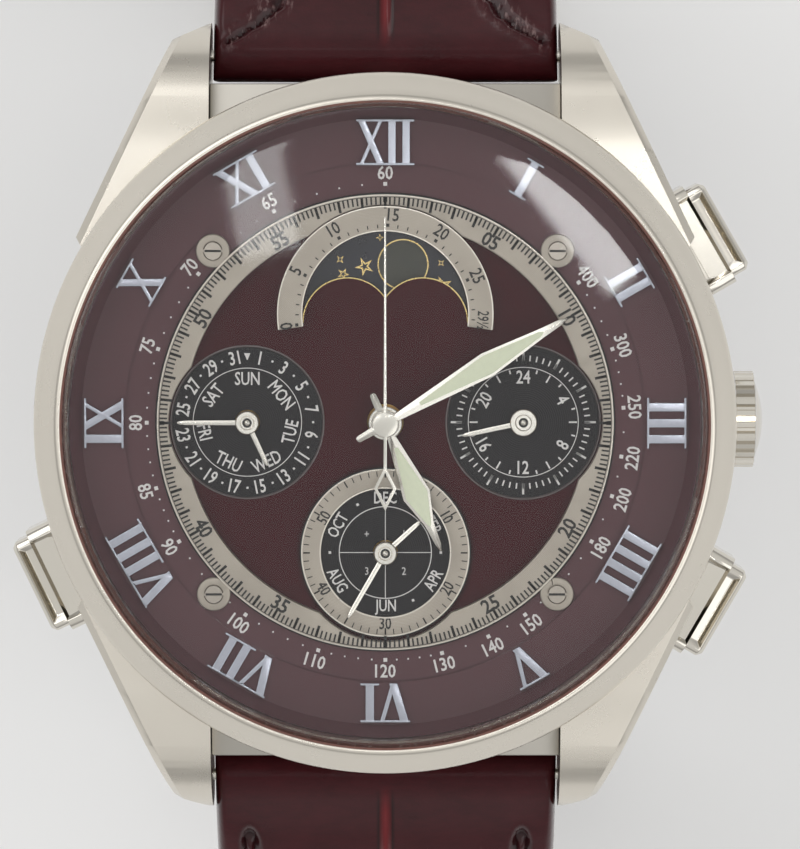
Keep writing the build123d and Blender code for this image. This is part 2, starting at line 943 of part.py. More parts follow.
def small_hand(length, hub, bore, z, angle, x, y):
    """A subdial hand: a slim leaf with a short tail and a hub."""
    top = z + small_hand_thickness
    shape = leaf(length, small_hand_width / 2, small_hand_root_half, z, top)
    shape += leaf(-small_hand_tail, small_hand_width / 2, small_hand_root_half, z, top)
    shape += post(hub, z, top)
    if bore:
        shape -= post(bore, z, top)
    else:
        shape += post(hub * small_cap_share, top, top + cap_height)
    return Pos(x, y, 0) * (Rot(0, 0, -angle) * shape)


# Motion work


def gear(teeth, module, phase, bottom, top):
    """A flat wheel with plain tapered teeth; one tooth points along the phase angle."""
    pitch = 360 / teeth
    root = module * (teeth / 2 - dedendum_share)
    tip = module * (teeth / 2 + addendum_share)
    points = []
    for index in range(teeth):
        middle = phase + pitch * index
        points.append(polar(root, middle - pitch * tooth_root_share))
        points.append(polar(tip, middle - pitch * tooth_tip_share))
        points.append(polar(tip, middle + pitch * tooth_tip_share))
        points.append(polar(root, middle + pitch * tooth_root_share))
    return upright(points, bottom, top)


def meshed_phase(phase, teeth, direction, other_teeth):
    """The phase of a wheel that meshes with one that lies against a direction."""
    offset = (direction - phase) / (full_turn / teeth)
    return direction + full_turn / 2 - full_turn / other_teeth * (half_way_share - offset)


minute_wheel_phase = meshed_phase(0, cannon_teeth, wheel_direction, minute_wheel_teeth)
hour_wheel_phase = meshed_phase(0, minute_pinion_teeth, wheel_direction + 180, hour_wheel_teeth)
idler_phase = meshed_phase(0, hour_drive_teeth, 0, idler_teeth)
hours24_phase = meshed_phase(idler_phase, idler_teeth, 0, hours24_teeth)


def cannon_pinion():
    """The tube that carries the minute hand, with its pinion."""
    shape = gear(cannon_teeth, moving_module, 0, layer_a_bottom, layer_a_top)
    shape += post(cannon_outer, layer_a_bottom, minute_hand_z + hand_thickness)
    return shape - post(cannon_inner, layer_a_bottom, minute_hand_z + hand_thickness)


def hour_wheel():
    """The tube that carries the hour hand, with its wheel and the drive to the day hand."""
    shape = gear(hour_wheel_teeth, hour_module, hour_wheel_phase, layer_b_bottom, layer_b_top)
    shape += gear(hour_drive_teeth, train_module, 0, layer_c_bottom, layer_c_top)
    shape += post(hour_tube_outer, layer_b_bottom, hour_hand_z + hand_thickness)
    return shape - post(hour_tube_inner, layer_b_bottom, hour_hand_z + hand_thickness)


def minute_wheel():
    """The intermediate wheel and pinion of the motion work."""
    shape = gear(
        minute_wheel_teeth, moving_module, minute_wheel_phase, layer_a_bottom, layer_a_top
    )
    shape += gear(minute_pinion_teeth, hour_module, 0, layer_a_top, layer_b_top)
    shape += post(wheel_arbor, tube_foot_z, layer_a_bottom)
    return Pos(minute_wheel_x, minute_wheel_y, 0) * shape


def idler_wheel():
    """The idler between the hour wheel and the twenty-four hour wheel."""
    shape = gear(idler_teeth, train_module, idler_phase, layer_c_bottom, layer_c_top)
    return Pos(idler_x, 0, 0) * (shape + post(wheel_arbor, tube_foot_z, layer_c_bottom))


def hours24_wheel():
    """The wheel and arbor of the twenty-four hour hand."""
    shape = gear(hours24_teeth, train_module, hours24_phase, layer_c_bottom, layer_c_top)
    shape += post(wheel_arbor, tube_foot_z, single_hand_z)
    return Pos(right_x, 0, 0) * shape


def calendar_wheel(teeth, bore, bottom, x, y):
    """A wheel under the dial that carries a subdial hand round."""
    top = bottom + calendar_wheel_height
    shape = gear(teeth, 2 * calendar_wheel_radius / teeth, 0, bottom, top)
    return Pos(x, y, 0) * (shape - post(bore, bottom, top))


# Movement


def plate_bores():
    """The arbor holes in the main plate: x, y, radius and foot."""
    pin = day_arbor + running_gap
    wheel = wheel_arbor + running_gap
    return (
        (0, 0, seconds_arbor + running_gap, tube_foot_z),
        (-left_x, 0, pin, post_foot_z),
        (0, -month_y, pin, post_foot_z),
        (right_x, 0, wheel, tube_foot_z),
        (idler_x, 0, wheel, tube_foot_z),
        (minute_wheel_x, minute_wheel_y, wheel, tube_foot_z),
        (0, moon_y, moon_arbor + running_gap, tube_foot_z),
    )


def coil_places():
    """Where the stepping motors' coils lie: x, y and turn."""
    return [
        (x_share * plate_radius, y_share * plate_radius, turn)
        for x_share, y_share, turn in coil_places_shares
    ]


def main_plate():
    """The movement's plate with its arbor bores, battery pocket and coil slots."""
    plate = post(plate_radius, plate_bottom, plate_top)
    for x, y, radius, foot in plate_bores():
        plate -= post(radius, foot - running_gap, plate_top + overrun, x, y)
    pocket_top = battery_top + battery_gap
    pocket = battery_radius + battery_gap
    plate -= post(pocket, plate_bottom - overrun, pocket_top, battery_x, battery_y)
    slot_top = coil_z + coil_radius + battery_gap
    depth = slot_top - plate_bottom + overrun
    for x, y, turn in coil_places():
        slot = Box(
            coil_core_length + battery_gap,
            2 * (coil_radius + battery_gap),
            depth,
            align=(Align.CENTER, Align.CENTER, Align.MAX),
        )
        plate -= Pos(x, y, slot_top) * (Rot(0, 0, turn) * slot)
    channel = (-channel_width / 2, channel_width / 2)
    plate -= block((channel_start, plate_radius), channel, (channel_floor, plate_top + overrun))
    return plate


def motor_coils():
    """The stepping motors' coils on their cores."""
    coils = []
    for x, y, turn in coil_places():
        rod = Cylinder(coil_core_radius, coil_core_length)
        shape = Cylinder(coil_radius, coil_length) + rod
        coils.append(Pos(x, y, coil_z) * (Rot(0, 0, turn) * (Rot(0, 90, 0) * shape)))
    return coils


def circuit_board():
    """The board under the main plate, open round the battery."""
    board = post(board_radius, plate_bottom - board_thickness, plate_bottom)
    hole = battery_radius + battery_gap
    return board - post(hole, holder_bottom - overrun, plate_bottom, battery_x, battery_y)


def battery():
    """The button cell, its stepped cap toward the case back."""
    cell_bottom = battery_bottom + battery_cap_height
    cell = post(battery_radius, cell_bottom, battery_top, battery_x, battery_y)
    return cell + post(battery_cap_radius, battery_bottom, cell_bottom, battery_x, battery_y)


def movement_holder():
    """The ring that centres the movement in the case and carries the dial."""
    holder = ring(holder_outer_radius, plate_radius, holder_bottom, dial_seat_z)
    holder -= radial_rod(0, holder_stem_hole, plate_radius - overrun, holder_outer_radius + overrun)
    hole = pusher_stem_radius + open_gap
    for angle in pusher_angles.values():
        holder -= radial_rod(angle, hole, pusher_hole_end_radius, holder_outer_radius + overrun)
    return holder


def day_tube(x, y):
    """The tube of a lower subdial hand, which turns on the upper hand's post."""
    top = low_hand_z + small_hand_thickness
    return ring(day_tube_outer, day_tube_inner, layer_b_bottom, top, x, y)


def day_post(x, y):
    """The post of an upper subdial hand."""
    return post(day_arbor, post_foot_z, high_hand_z, x, y)


# Crown and pushers


def dome_middle(radius, edge, apex):
    """The point of a spherical dome's profile at half its radius."""
    rise = apex - edge
    sphere = (radius**2 + rise**2) / (2 * rise)
    return radius / 2, apex - sphere + math.sqrt(sphere**2 - radius**2 / 4)


def crown():
    """The fluted crown, hollow where it covers its tube."""
    grip = crown_start_x, crown_grip_x
    points = []
    step = 360 / crown_ridges
    for index in range(crown_ridges):
        for share, depth in crown_flute_shares:
            radius = crown_radius - crown_groove_depth * depth
            points.append(polar(radius, step * (index + share)))
    flutes = make_face(Polyline(*points, close=True))
    shape = radial_place(0) * (Pos(0, 0, grip[0]) * extrude(flutes, grip[1] - grip[0]))
    side = ThreePointArc(
        (crown_dome_radius, crown_grip_x),
        dome_middle(crown_dome_radius, crown_grip_x, crown_end_x),
        (0, crown_end_x),
    )
    base = Polyline((0, crown_end_x), (0, crown_grip_x), (crown_dome_radius, crown_grip_x))
    dome = revolve(Plane.XZ * make_face(side + base), Axis.Z)
    shape += radial_place(0) * dome
    shape -= radial_rod(0, crown_bore_radius, crown_start_x, crown_bore_x)
    shape -= radial_rod(0, crown_gasket_radius, crown_gasket_start_x, crown_gasket_end_x)
    return shape


def crown_gasket():
    """The seal in the crown's bore."""
    rod = radial_rod(0, crown_gasket_radius, crown_gasket_start_x, crown_gasket_end_x)
    inner = crown_tube_radius + running_gap
    return rod - radial_rod(0, inner, crown_gasket_start_x, crown_gasket_end_x)


def crown_tube():
    """The tube pressed into the case, round which the crown runs."""
    rod = radial_rod(0, crown_tube_radius, crown_tube_start_x, crown_tube_end_x)
    return rod - radial_rod(0, stem_radius + running_gap, crown_tube_start_x, crown_tube_end_x)


def crown_stem():
    """The winding stem with the groove that its lever rides in."""
    rod = radial_rod(0, stem_radius, stem_start_x, crown_bore_x)
    groove_end = stem_groove_x + stem_groove_width
    groove = radial_rod(0, stem_radius + overrun, stem_groove_x, groove_end)
    groove -= radial_rod(0, stem_groove_radius, stem_groove_x, groove_end)
    return rod - groove


def setting_lever():
    """The fork that follows the stem's groove in and out."""
    start = stem_groove_x + running_gap
    end = stem_groove_x + stem_groove_width - running_gap
    half = lever_width / 2
    plate = block((start, end), (-half, half), (lever_bottom, lever_top))
    slot = stem_groove_radius + running_gap
    plate -= block((start, end), (-slot, slot), (lever_bottom, crown_z))
    return plate - radial_rod(0, slot, start, end)


def guard_blank(angle):
    """A guard's outer form."""
    return radial_block(
        angle, guard_length, guard_height, guard_corner, case_radius - overrun, guard_end_radius
    )


def pusher_guards():
    """The three fixed guards that the pushers slide in."""
    guards = []
    for angle in pusher_angles.values():
        guard = guard_blank(angle)
        guard -= post(case_radius, 0, shoulder_z)
        length = pusher_length + 2 * running_gap
        height = pusher_height + 2 * running_gap
        guard -= radial_block(
            angle, length, height, pusher_corner, pocket_start_radius, guard_end_radius + overrun
        )
        hole = pusher_stem_radius + running_gap
        guard -= radial_rod(angle, hole, case_radius - overrun, pocket_start_radius + overrun)
        guards.append(guard)
    return guards


def pusher(angle):
    """One pusher: its cap and the stem through the case."""
    cap = radial_block(
        angle, pusher_length, pusher_height, pusher_corner, pusher_start_radius, pusher_end_radius
    )
    face = cap.faces().sort_by(SortBy.DISTANCE)[-1]
    cap = chamfer(face.edges(), pusher_crown)
    return cap + radial_rod(angle, pusher_stem_radius, pusher_stem_end_radius, pusher_start_radius)


# Strap


def spring_bar(y):
    """A spring bar: a tube with a rib and a pivot at each end."""
    bar = across(bar_radius, -bar_half_length, bar_half_length, y, bar_z)
    for side in (-1, 1):
        rib_end = side * (bar_half_length + bar_rib_width)
        low, high = sorted((side * bar_half_length, rib_end))
        bar += across(bar_rib_radius, low, high, y, bar_z)
        low, high = sorted((rib_end, side * bar_pivot_end))
        bar += across(bar_pivot_radius, low, high, y, bar_z)
    return bar


def shoulder_end():
    """Where the shoulder arc turns upright, for the half on +Y."""
    tilt = math.radians(strap_exit_angle)
    y = bar_y + strap_shoulder_radius * (1 - math.sin(tilt))
    return y, bar_z - strap_shoulder_radius * math.cos(tilt)


def shoulder_points():
    """Points with headings along the shoulder, from the bar to upright, on +Y."""
    y_end, z_end = shoulder_end()
    centre_y = y_end - strap_shoulder_radius
    places = []
    for index in range(strap_stations + 1):
        heading = strap_exit_angle + (90 - strap_exit_angle) * index / strap_stations
        turn = math.radians(heading)
        y = centre_y + strap_shoulder_radius * math.sin(turn)
        z = z_end + strap_shoulder_radius * math.cos(turn)
        places.append((y, z, heading))
    return places


def pad_offsets(distance):
    """How far the strap's outer and inner faces lie from its middle line."""
    share = min(1, distance / pad_rise)
    swell = math.sin(share * math.pi / 2)
    outer = strap_end_radius + (pad_outer - strap_end_radius) * swell
    inner = strap_end_radius + (pad_inner - strap_end_radius) * swell
    return outer, inner


def side_lines():
    """The outer and inner lines of the shoulder, from the bar outward, on +Y."""
    outer_line = []
    inner_line = []
    arc_length = strap_shoulder_radius * math.radians(90 - strap_exit_angle)
    for index, (y, z, heading) in enumerate(shoulder_points()):
        outer, inner = pad_offsets(arc_length * index / strap_stations)
        turn = math.radians(heading)
        normal_y, normal_z = math.sin(turn), math.cos(turn)
        outer_line.append((y + normal_y * outer, z + normal_z * outer))
        inner_line.append((y - normal_y * inner, z - normal_z * inner))
    return outer_line, inner_line


def short_side():
    """The side outline of the buckle half, without its two rounded ends."""
    outer, inner = side_lines()
    end_y, end_z = short_foot_y, buckle_axis_z
    outer_curve = Spline(*outer, tangents=(exit_heading(), (0, -1)))
    inner_curve = Spline(*reversed(inner), tangents=((0, 1), reverse(exit_heading())))
    down = Polyline(
        outer[-1],
        (end_y + strap_half_thin, end_z),
        (end_y - strap_half_thin, end_z),
        inner[-1],
    )
    start = Line(inner[0], outer[0])
    return outer_curve + down + inner_curve + start


def exit_heading():
    """The direction in which the strap leaves its spring bar, on +Y."""
    turn = math.radians(strap_exit_angle)
    return math.cos(turn), -math.sin(turn)


def reverse(direction):
    """The opposite direction."""
    return -direction[0], -direction[1]


def front_outline(taper_end_z, bottom_z):
    """The strap's outline seen from the front, in X and Z."""
    wide, narrow = strap_width / 2, strap_end_width / 2
    taper_start_z = shoulder_end()[1]
    top_z = bar_z + bar_y
    return [
        (-wide, top_z),
        (wide, top_z),
        (wide, taper_start_z),
        (narrow, taper_end_z),
        (narrow, bottom_z),
        (-narrow, bottom_z),
        (-narrow, taper_end_z),
        (-wide, taper_start_z),
    ]


def across_face(outline, half):
    """A YZ outline extruded to both sides of the middle plane."""
    return Pos(-half, 0, 0) * extrude(Plane.YZ * make_face(outline), 2 * half)


def tapered(shape, taper_end_z, bottom_z):
    """A strap half cut to its tapering width."""
    outline = make_face(Polyline(*front_outline(taper_end_z, bottom_z), close=True))
    reach = bar_y + 2 * lug_reach_y
    return shape & (Pos(0, reach, 0) * extrude(Plane.XZ * outline, 2 * reach))


def rounded_sides(shape):
    """A strap half with the long edges of its leather rounded."""
    edges = [edge for edge in shape.edges() if abs(edge.center().X) > strap_end_width * flank_share]
    return fillet(edges, strap_edge)


def strap_short():
    """The buckle half of the strap, standing on its end."""
    half = strap_width / 2
    shape = across_face(short_side(), half)
    shape += across(strap_end_radius, -half, half, bar_y, bar_z)
    shape = rounded_sides(tapered(shape, buckle_axis_z, ground_z))
    narrow = strap_end_width / 2
    shape += across(short_end_radius, -narrow, narrow, short_foot_y, buckle_axis_z)
    hole = bar_radius + strap_hole_gap
    shape -= across(hole, -half - overrun, half + overrun, bar_y, bar_z)
    hole = buckle_bar_radius + strap_hole_gap
    shape -= across(hole, -half - overrun, half + overrun, short_foot_y, buckle_axis_z)
    slot = (-tongue_slot_width / 2, tongue_slot_width / 2)
    slot_y = (short_foot_y - tongue_slot_reach, short_foot_y + tongue_slot_reach)
    slot_z = (ground_z - overrun, buckle_axis_z + tongue_slot_depth)
    return shape - block(slot, slot_y, slot_z)


def long_side():
    """The side outline of the hole half, drawn on +Y and mirrored later."""
    outer, inner = side_lines()
    y_end = shoulder_end()[0]
    bend_z = ground_z + long_half_thin + long_bend_radius
    bend_y = y_end - long_bend_radius
    thin = long_half_thin
    diagonal = math.sqrt(0.5)
    tip_y = bend_y - long_foot_length
    outer_curve = Spline(*outer, tangents=(exit_heading(), (0, -1)))
    inner_curve = Spline(*reversed(inner), tangents=((0, 1), reverse(exit_heading())))
    outer_bend = long_bend_radius + thin
    inner_bend = long_bend_radius - thin
    down = Line(outer[-1], (y_end + thin, bend_z))
    turn_out = ThreePointArc(
        (y_end + thin, bend_z),
        (bend_y + outer_bend * diagonal, bend_z - outer_bend * diagonal),
        (bend_y, ground_z),
    )
    foot = Polyline(
        (bend_y, ground_z),
        (tip_y, ground_z),
        (tip_y, ground_z + 2 * thin),
        (bend_y, ground_z + 2 * thin),
    )
    turn_in = ThreePointArc(
        (bend_y, ground_z + 2 * thin),
        (bend_y + inner_bend * diagonal, bend_z - inner_bend * diagonal),
        (y_end - thin, bend_z),
    )
    up = Line((y_end - thin, bend_z), inner[-1])
    start = Line(inner[0], outer[0])
    return outer_curve + down + turn_out + foot + turn_in + up + inner_curve + start


def long_hole_places():
    """The places and headings of the strap's holes on the hole half, on +Y."""
    y_end = shoulder_end()[0]
    bend_z = ground_z + long_half_thin + long_bend_radius
    bend_y = y_end - long_bend_radius
    places = []
    for index in range(hole_count):
        distance = long_foot_length - hole_start - hole_pitch * index
        turn = max(0, -distance) / long_bend_radius
        y = bend_y - max(0, distance) + long_bend_radius * math.sin(turn)
        z = bend_z - long_bend_radius * math.cos(turn)
        places.append((y, z, math.degrees(turn)))
    return places


def strap_long():
    """The hole half of the strap, whose lower end lies flat on the ground."""
    half = strap_width / 2
    shape = across_face(long_side(), half)
    shape += across(strap_end_radius, -half, half, bar_y, bar_z)
    shape = rounded_sides(tapered(shape, long_taper_end_z, ground_z))
    hole = bar_radius + strap_hole_gap
    shape -= across(hole, -half - overrun, half + overrun, bar_y, bar_z)
    for y, z, turn in long_hole_places():
        drill = Cylinder(hole_radius, 2 * (long_half_thin + overrun))
        shape -= Pos(0, y, z) * (Rot(turn, 0, 0) * drill)
    tip_y = shoulder_end()[0] - long_bend_radius - long_foot_length
    narrow = strap_end_width / 2
    sag = long_tip_radius - math.sqrt(long_tip_radius**2 - narrow**2)
    tip = ThreePointArc((-narrow, tip_y + sag), (0, tip_y), (narrow, tip_y + sag))
    corner = Polyline(
        (narrow, tip_y + sag),
        (narrow, tip_y - overrun),
        (-narrow, tip_y - overrun),
        (-narrow, tip_y + sag),
    )
    waste = Pos(0, 0, ground_z - overrun) * extrude(make_face(tip + corner), pad_rise)
    return mirror(shape - waste, Plane.XZ)


# Buckle


def buckle_frame():
    """The buckle's frame, lying flat in front of the strap's end."""
    low, high = ground_z, ground_z + buckle_thickness
    y_far = short_foot_y + buckle_reach
    sketch = Pos(0, short_foot_y + buckle_reach / 2) * RectangleRounded(
        2 * buckle_outer_half, buckle_reach, buckle_corner
    )
    shape = Pos(0, 0, low) * extrude(sketch, high - low)
    shape += block(
        (-buckle_outer_half, buckle_outer_half),
        (short_foot_y, y_far - buckle_corner),
        (low, high),
    )
    ear_z = buckle_axis_z
    shape += across(
        buckle_ear_radius, -buckle_outer_half, buckle_outer_half, short_foot_y, ear_z
    )
    inner_far = short_foot_y + buckle_inner_reach
    inner = (-buckle_inner_half, buckle_inner_half)
    back = short_foot_y - buckle_ear_back - overrun
    shape -= block(inner, (back, inner_far), (low - overrun, high + overrun))
    hole_end = (buckle_inner_half + buckle_outer_half) / 2
    shape -= across(buckle_hole_radius, -hole_end, hole_end, short_foot_y, ear_z)
    return shape


def buckle_bar():
    """The sprung bar that joins strap, frame and tongue."""
    half = strap_end_width / 2
    end = (buckle_inner_half + buckle_outer_half) / 2
    bar = across(buckle_bar_radius, -half, half, short_foot_y, buckle_axis_z)
    return bar + across(buckle_pivot_radius, -end, end, short_foot_y, buckle_axis_z)


def buckle_tongue():
    """The tongue, looped round the bar and resting on the frame."""
    half = tongue_width / 2
    rest_z = ground_z + buckle_thickness + tongue_lift
    outline = Polyline(
        (short_foot_y, buckle_axis_z + tongue_ring_radius),
        (short_foot_y + buckle_inner_reach, rest_z + tongue_thickness),
        (short_foot_y + tongue_reach, rest_z + tongue_thickness / 2),
        (short_foot_y + tongue_reach, rest_z),
        (short_foot_y + buckle_inner_reach, rest_z),
        (short_foot_y, buckle_axis_z + tongue_ring_radius - tongue_thickness),
        close=True,
    )
    shape = across_face(outline, half)
    shape += across(tongue_ring_radius, -half, half, short_foot_y, buckle_axis_z)
    hole = buckle_bar_radius + running_gap
    return shape - across(hole, -half, half, short_foot_y, buckle_axis_z)


def keeper(distance):
    """A leather loop round the buckle half, with room for the strap's tail."""
    y_end, z_end = shoulder_end()
    run_y, run_z = y_end - short_foot_y, z_end - buckle_axis_z
    leg = math.hypot(run_y, run_z)
    centre = (
        0,
        short_foot_y + run_y * distance / leg,
        buckle_axis_z + run_z * distance / leg,
    )
    place = Plane(origin=centre, x_dir=(1, 0, 0), z_dir=(0, run_y / leg, run_z / leg))
    share = distance / leg
    width = strap_end_width + (strap_width - strap_end_width) * share + 2 * keeper_gap
    inner_face = strap_half_thin + (pad_inner - strap_half_thin) * share + keeper_gap
    outer_face = strap_half_thin + (pad_outer - strap_half_thin) * share + tail_room
    depth = inner_face + outer_face
    middle = (outer_face - inner_face) / 2
    outer = RectangleRounded(width + 2 * keeper_wall, depth + 2 * keeper_wall, keeper_corner)
    inner = RectangleRounded(width, depth, keeper_corner / 2)
    band = extrude(Pos(0, middle) * (outer - inner), keeper_height)
    return place * (Pos(0, 0, -keeper_height / 2) * band)


# The whole watch

os.makedirs("parts", exist_ok=True)

save("case_middle", case_middle())
save("bezel", bezel())
save("crystal", crystal())
save("crystal_gasket", crystal_gasket())
save("case_back", case_back())
save("case_back_gasket", back_gasket())
save("case_back_screws", *back_screws())

save("dial", dial())
save("dial_flange", dial_flange())
save("roman_numerals", *roman_numerals())
save("chapter_ring", chapter_ring())
save("chapter_ring_screws", *chapter_screws())
save("moon_scale_ring", moon_scale_ring())
save("moon_disc", moon_disc())
calendar_plate, hours_plate, month_plate, month_scale = subdials()
save("calendar_subdial", calendar_plate)
save("hours_subdial", hours_plate)
save("month_subdial", month_plate)
save("month_scale_ring", month_scale)

hour_body, hour_window = main_hand(
    hour_length, hour_width, hour_hub, hour_tube_outer, hour_hand_z, hour_angle
)
minute_body, minute_window = main_hand(
    minute_length, minute_width, minute_hub, cannon_outer, minute_hand_z, minute_angle
)
save("hour_hand", hour_body)
save("hour_lume", hour_window)
save("hour_wheel", hour_wheel())
save("minute_hand", minute_body)
save("minute_lume", minute_window)
save("cannon_pinion", cannon_pinion())
save("seconds_hand", seconds_hand())
weekday = small_hand(weekday_length, day_hub, day_tube_outer, low_hand_z, weekday_angle, -left_x, 0)
save("weekday_hand", weekday + day_tube(-left_x, 0))
save("weekday_wheel", calendar_wheel(weekday_teeth, day_tube_outer, layer_b_bottom, -left_x, 0))
date = small_hand(date_length, day_hub, 0, high_hand_z, date_angle, -left_x, 0)
save("date_hand", date + day_post(-left_x, 0))
save("date_wheel", calendar_wheel(date_teeth, day_arbor, layer_a_bottom, -left_x, 0))
month = small_hand(month_length, month_hub, day_tube_outer, low_hand_z, month_angle, 0, -month_y)
save("month_hand", month + day_tube(0, -month_y))
save("month_wheel", calendar_wheel(month_teeth, day_tube_outer, layer_b_bottom, 0, -month_y))
small_minute = small_hand(
    small_minute_length, month_hub, 0, high_hand_z, small_minute_angle, 0, -month_y
)
save("small_minute_hand", small_minute + day_post(0, -month_y))
save(
    "small_minute_wheel",
    calendar_wheel(small_minute_teeth, day_arbor, layer_a_bottom, 0, -month_y),
)
save(
    "hours24_hand",
    small_hand(hours24_length, hours24_hub, 0, single_hand_z, hours24_angle, right_x, 0),
)
save("hours24_wheel", hours24_wheel())
save("minute_wheel", minute_wheel())
save("idler_wheel", idler_wheel())

save("main_plate", main_plate())
save("movement_holder", movement_holder())
save("circuit_board", circuit_board())
save("battery", battery())
save("motor_coils", *motor_coils())

save("crown", crown())
save("crown_gasket", crown_gasket())
save("crown_stem", crown_stem())
save("crown_tube", crown_tube())
save("setting_lever", setting_lever())
save("pusher_guards", *pusher_guards())
for pusher_name, pusher_angle in pusher_angles.items():
    save(pusher_name, pusher(pusher_angle))

save("spring_bar_upper", spring_bar(bar_y))
save("spring_bar_lower", spring_bar(-bar_y))
save("strap_short", strap_short())
save("strap_long", strap_long())
save("buckle_frame", buckle_frame())
save("buckle_bar", buckle_bar())
save("buckle_tongue", buckle_tongue())
save("keeper_fixed", keeper(fixed_keeper_distance))
save("keeper_free", keeper(free_keeper_distance))
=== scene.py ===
import json
import math

import bmesh
import bpy
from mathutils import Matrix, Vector


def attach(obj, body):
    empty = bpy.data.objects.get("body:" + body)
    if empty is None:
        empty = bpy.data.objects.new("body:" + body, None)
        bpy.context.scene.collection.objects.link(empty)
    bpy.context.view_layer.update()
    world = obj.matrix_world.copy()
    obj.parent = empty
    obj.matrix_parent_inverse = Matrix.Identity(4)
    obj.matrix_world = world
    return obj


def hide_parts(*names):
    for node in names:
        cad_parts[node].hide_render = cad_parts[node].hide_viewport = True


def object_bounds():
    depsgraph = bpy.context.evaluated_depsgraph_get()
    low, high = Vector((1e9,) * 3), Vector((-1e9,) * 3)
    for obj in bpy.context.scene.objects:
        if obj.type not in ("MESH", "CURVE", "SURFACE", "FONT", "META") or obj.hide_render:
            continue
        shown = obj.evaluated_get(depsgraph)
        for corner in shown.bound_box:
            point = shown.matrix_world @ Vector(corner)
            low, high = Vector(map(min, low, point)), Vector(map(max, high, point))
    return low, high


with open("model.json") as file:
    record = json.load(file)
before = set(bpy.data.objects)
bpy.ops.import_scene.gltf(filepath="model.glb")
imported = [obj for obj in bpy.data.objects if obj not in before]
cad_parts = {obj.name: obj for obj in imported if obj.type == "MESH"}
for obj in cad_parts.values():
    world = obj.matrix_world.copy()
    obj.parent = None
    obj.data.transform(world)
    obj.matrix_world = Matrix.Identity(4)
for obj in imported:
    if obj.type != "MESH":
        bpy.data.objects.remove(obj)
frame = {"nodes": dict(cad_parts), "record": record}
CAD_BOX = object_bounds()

bl_info = {
    "name": "Moon phase watch",
    "version": (1, 0, 0),
    "blender": (4, 5, 0),
    "location": "3D View > Sidebar > Watch",
    "description": "Builds the finish, printing and leather of a moon phase watch on its frame",
    "category": "Object",
}

NODES = frame["nodes"]
MM = 0.001  # lengths are written in millimetres and turned into metres where they are used

# Heights of the faces that carry print
FLANGE_Z = 7.8
CHAPTER_Z = 8.1
ARCH_Z = 8.1
SUBDIAL_Z = 7.35
MONTH_RING_Z = 7.6
DIAL_Z = 7.4
MOON_Z = 6.6

# How far print stands off its face, and how thick it is
PRINT_LIFT = 0.004
PRINT_HEIGHT = 0.016

# Centres of the watch, the subdials and the moon disc
AXIS = (0.0, 0.0)
CALENDAR = (-8.6394, 0.0)
HOURS = (8.6394, 0.0)
MONTH = (0.0, -8.19672)
MOON = (0.0, 6.79728)

# Segments round the widest printed circles, the faces, the hubs and the pins
RING_SIDES, FACE_SIDES, HUB_SIDES, PIN_SIDES = 240, 192, 96, 32

CAPITAL = 1.38  # font size over the height of a capital

# Vertices nearer than this many metres are merged, in a new mesh and in a CAD mesh
MERGE = 1e-7
CAD_MERGE = 2e-6


def tone(red, green, blue):
    """A colour written as on a screen, 0 to 255, as linear light."""
    parts = [value / 255 for value in (red, green, blue)]
    return [p / 12.92 if p <= 0.04045 else ((p + 0.055) / 1.055) ** 2.4 for p in parts] + [1]


def part(colour, share):
    """A colour made lighter or darker."""
    return [min(1.0, value * share) for value in colour[:3]] + [1]


def between(low, high, share):
    return low + (high - low) * share


def limited(value):
    """A value kept from 0 to 1."""
    return min(1.0, max(0.0, value))


def hill(offset, width, power=2):
    """A smooth hill: 1 at its middle, falling off over a width."""
    return math.exp(-((offset / width) ** power))


# Modelling


def rest():
    """Object mode with nothing selected, because an operator acts on all that is selected."""
    if bpy.context.mode != "OBJECT":
        bpy.ops.object.mode_set(mode="OBJECT")
    bpy.ops.object.select_all(action="DESELECT")


def take(*pieces):
    """Selects these pieces, the last one active."""
    rest()
    for piece in pieces:
        piece.select_set(True)
    bpy.context.view_layer.objects.active = pieces[-1]


def edit(piece):
    """Edit mode on one piece, with all of its vertices selected."""
    take(piece)
    bpy.ops.object.mode_set(mode="EDIT")
    bpy.ops.mesh.select_mode(type="VERT")
    bpy.ops.mesh.select_all(action="SELECT")
    return piece


def pick(piece, kind, test):
    """In edit mode, selects the faces, edges or vertices that pass a test."""
    bpy.ops.mesh.select_mode(type=kind)
    bpy.ops.mesh.select_all(action="DESELECT")
    mesh = bmesh.from_edit_mesh(piece.data)
    for element in {"VERT": mesh.verts, "EDGE": mesh.edges, "FACE": mesh.faces}[kind]:
        if test(element):
            element.select_set(True)
    mesh.select_flush_mode()
    bmesh.update_edit_mesh(piece.data)


def reshape(piece, place):
    """In edit mode, gives each vertex the place that a function works out, if it gives one."""
    for vertex in bmesh.from_edit_mesh(piece.data).verts:
        moved = place(vertex)
        if moved is not None:
            vertex.co = moved
    bmesh.update_edit_mesh(piece.data)


def face_out():
    """In edit mode, turns every face outward."""
    bpy.ops.mesh.select_all(action="SELECT")
    bpy.ops.mesh.normals_make_consistent(inside=False)


def thicken(height=PRINT_HEIGHT):
    """In edit mode, gives a flat shape a height; the new faces stay selected."""
    bpy.ops.mesh.select_all(action="SELECT")
    bpy.ops.mesh.extrude_region_move(TRANSFORM_OT_translate={"value": (0, 0, height * MM)})


def settle(piece, name):
    """Puts a piece's place into its mesh and names it."""
    take(piece)
    bpy.ops.object.transform_apply(location=True, rotation=True, scale=True)
    piece.name = name
    piece.data.name = name
    return piece


def move_to(piece, centre, name, angle=0.0):
    """Turns a piece clockwise and stands it on a centre, with both put into its mesh."""
    piece.location = (centre[0] * MM, centre[1] * MM, 0)
    piece.rotation_euler = (0, 0, math.radians(-angle))
    return settle(piece, name)


